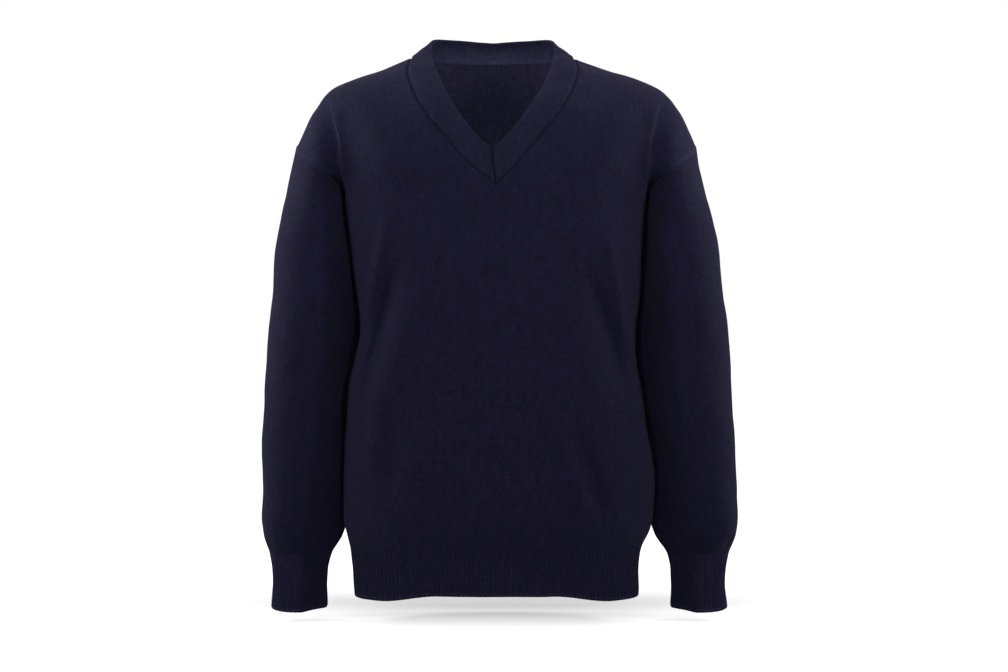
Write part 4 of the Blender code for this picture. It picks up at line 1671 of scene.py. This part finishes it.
def floor_material():
    """White paper that glows where the camera sees it, with a painted shadow: an oval of weaker glow."""
    material = bpy.data.materials.new("pale_floor")
    nodes = Nodes(material)
    place = nodes.add("ShaderNodeTexCoord").outputs["Object"]
    moved = nodes.vector("SUBTRACT", place, PAINTED_SHADOW_MIDDLE).outputs[0]
    oval = nodes.vector("MULTIPLY", moved, PAINTED_SHADOW_STRETCH).outputs[0]
    away = nodes.vector("LENGTH", oval).outputs["Value"]
    # the painted shadow: the weakest glow is in the oval under the sweater
    glow = nodes.ramp(away, PAINTED_SHADOW_FROM, PAINTED_SHADOW_TO, PAINTED_SHADOW_GLOW, GLOW_AROUND)
    seen = nodes.add("ShaderNodeLightPath").outputs["Is Camera Ray"]
    shader = material.node_tree.nodes["Principled BSDF"]
    shader.inputs["Base Color"].default_value = FLOOR_COLOUR
    shader.inputs["Roughness"].default_value = FLOOR_ROUGHNESS
    shader.inputs["Specular IOR Level"].default_value = 0.0
    shader.inputs["Emission Color"].default_value = GLOW_COLOUR
    nodes.put(nodes.math("MULTIPLY", glow, seen), shader.inputs["Emission Strength"])
    return material


corner = FLOOR_SIZE / 2
floor_mesh = bpy.data.meshes.new("floor")
floor_corners = [(-corner, -corner, 0), (corner, -corner, 0), (corner, corner, 0), (-corner, corner, 0)]
floor_mesh.from_pydata(floor_corners, [], [(0, 1, 2, 3)])
floor_mesh.materials.append(floor_material())
floor = bpy.data.objects.new("floor", floor_mesh)
floor.location = (0, 0, FLOOR_Z)
bpy.context.scene.collection.objects.link(floor)
floor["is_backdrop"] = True
print(f"the cuffs hang {CUFF_Z - FLOOR_Z / MM:.0f} mm above the floor")

# %% [markdown]
# ## The room and the lamps
#
# The room is white to the camera but lights the sweater only weakly, from all sides. The shape comes
# from soft lamps. Two large ones at the sides, a little in front, model the chest and the sleeves, with
# a weaker one in front between them and a faint one above. Two more stand behind at the sides and graze
# the cloth, which makes the edges of the sleeves pale. Standard colours, with no film look, keep the
# white paper white.

# %% The white room
ROOM_COLOUR = (1.0, 1.0, 1.0, 1.0)
ROOM_LIGHT = 0.18
ROOM_SEEN = 1.0

world = bpy.data.worlds.new("white_room")
room = Nodes(world)
background = world.node_tree.nodes["Background"]
background.inputs["Color"].default_value = ROOM_COLOUR
camera_ray = room.add("ShaderNodeLightPath").outputs["Is Camera Ray"]
room.put(room.ramp(camera_ray, 0.0, 1.0, ROOM_LIGHT, ROOM_SEEN), background.inputs["Strength"])
bpy.context.scene.world = world
bpy.context.scene.view_settings.view_transform = "Standard"
print("the room lights the sweater with", ROOM_LIGHT, "of the white that the camera sees")

# %% The lamps
LIGHT_SPREAD = math.radians(120)
LIGHTS = by_name(
    "x y z aim_z size power",
    ("front", 0.0, -1.3, 0.55, 0.26, 0.9, 2.45),
    ("left", -1.3, -0.68, 0.50, 0.32, 0.8, 4.25),
    ("right", 1.3, -0.68, 0.50, 0.32, 0.8, 4.1),
    ("left_rim", -1.3, 0.50, 0.42, -0.20, 0.6, 5.8),
    ("right_rim", 1.3, 0.50, 0.42, -0.20, 0.6, 4.5),
    ("top", 0.0, 0.1, 1.9, -0.30, 1.4, 0.45),
)


def aimed(place, target):
    """The turn that points an object from its place at the target."""
    return (target - place).to_track_quat("-Z", "Y").to_euler()


for name, light in LIGHTS.items():
    lamp = bpy.data.lights.new(name, "AREA")
    lamp.shape = "DISK"
    lamp.size = light["size"]
    lamp.energy = light["power"]
    lamp.spread = LIGHT_SPREAD
    holder = bpy.data.objects.new(name, lamp)
    holder.location = (light["x"], light["y"], light["z"])
    holder.rotation_euler = aimed(holder.location, Vector((0, 0, light["aim_z"])))
    bpy.context.scene.collection.objects.link(holder)
print("lamps:", {name: light["power"] for name, light in LIGHTS.items()})

# %% [markdown]
# ## The camera
#
# The sweater is seen from straight in front, level with its middle, through a long lens, which keeps the
# near and the far side of the neck at nearly the same scale. So the camera stands well back, turned to
# look along +Y.

# %% Set up the camera
CAMERA_PLACE = (0.01004, -2.600, -0.3463)
CAMERA_LENS = 74.01
CAMERA_SENSOR = 36.0
camera = bpy.data.cameras.new("camera")
camera.sensor_width = CAMERA_SENSOR
camera.lens = CAMERA_LENS
camera_holder = bpy.data.objects.new("camera", camera)
camera_holder.location = CAMERA_PLACE
camera_holder.rotation_euler = (math.pi / 2, 0, 0)
bpy.context.scene.collection.objects.link(camera_holder)
bpy.context.scene.camera = camera_holder
print(f"the camera sees {CAMERA_SENSOR / CAMERA_LENS * -CAMERA_PLACE[1]:.2f} m across at the sweater")

# %% [markdown]

# %% [markdown]
# ## Finish
#
# The cloth should fill the same space as the frame's walls, so both boxes are printed.

# %% Print the sizes and finish
LOOKS_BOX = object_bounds()
boxes = {"cad": [list(point) for point in CAD_BOX], "looks": [list(point) for point in LOOKS_BOX]}
for name, box in boxes.items():
    print(name, [round(value / MM, 1) for point in box for value in point])
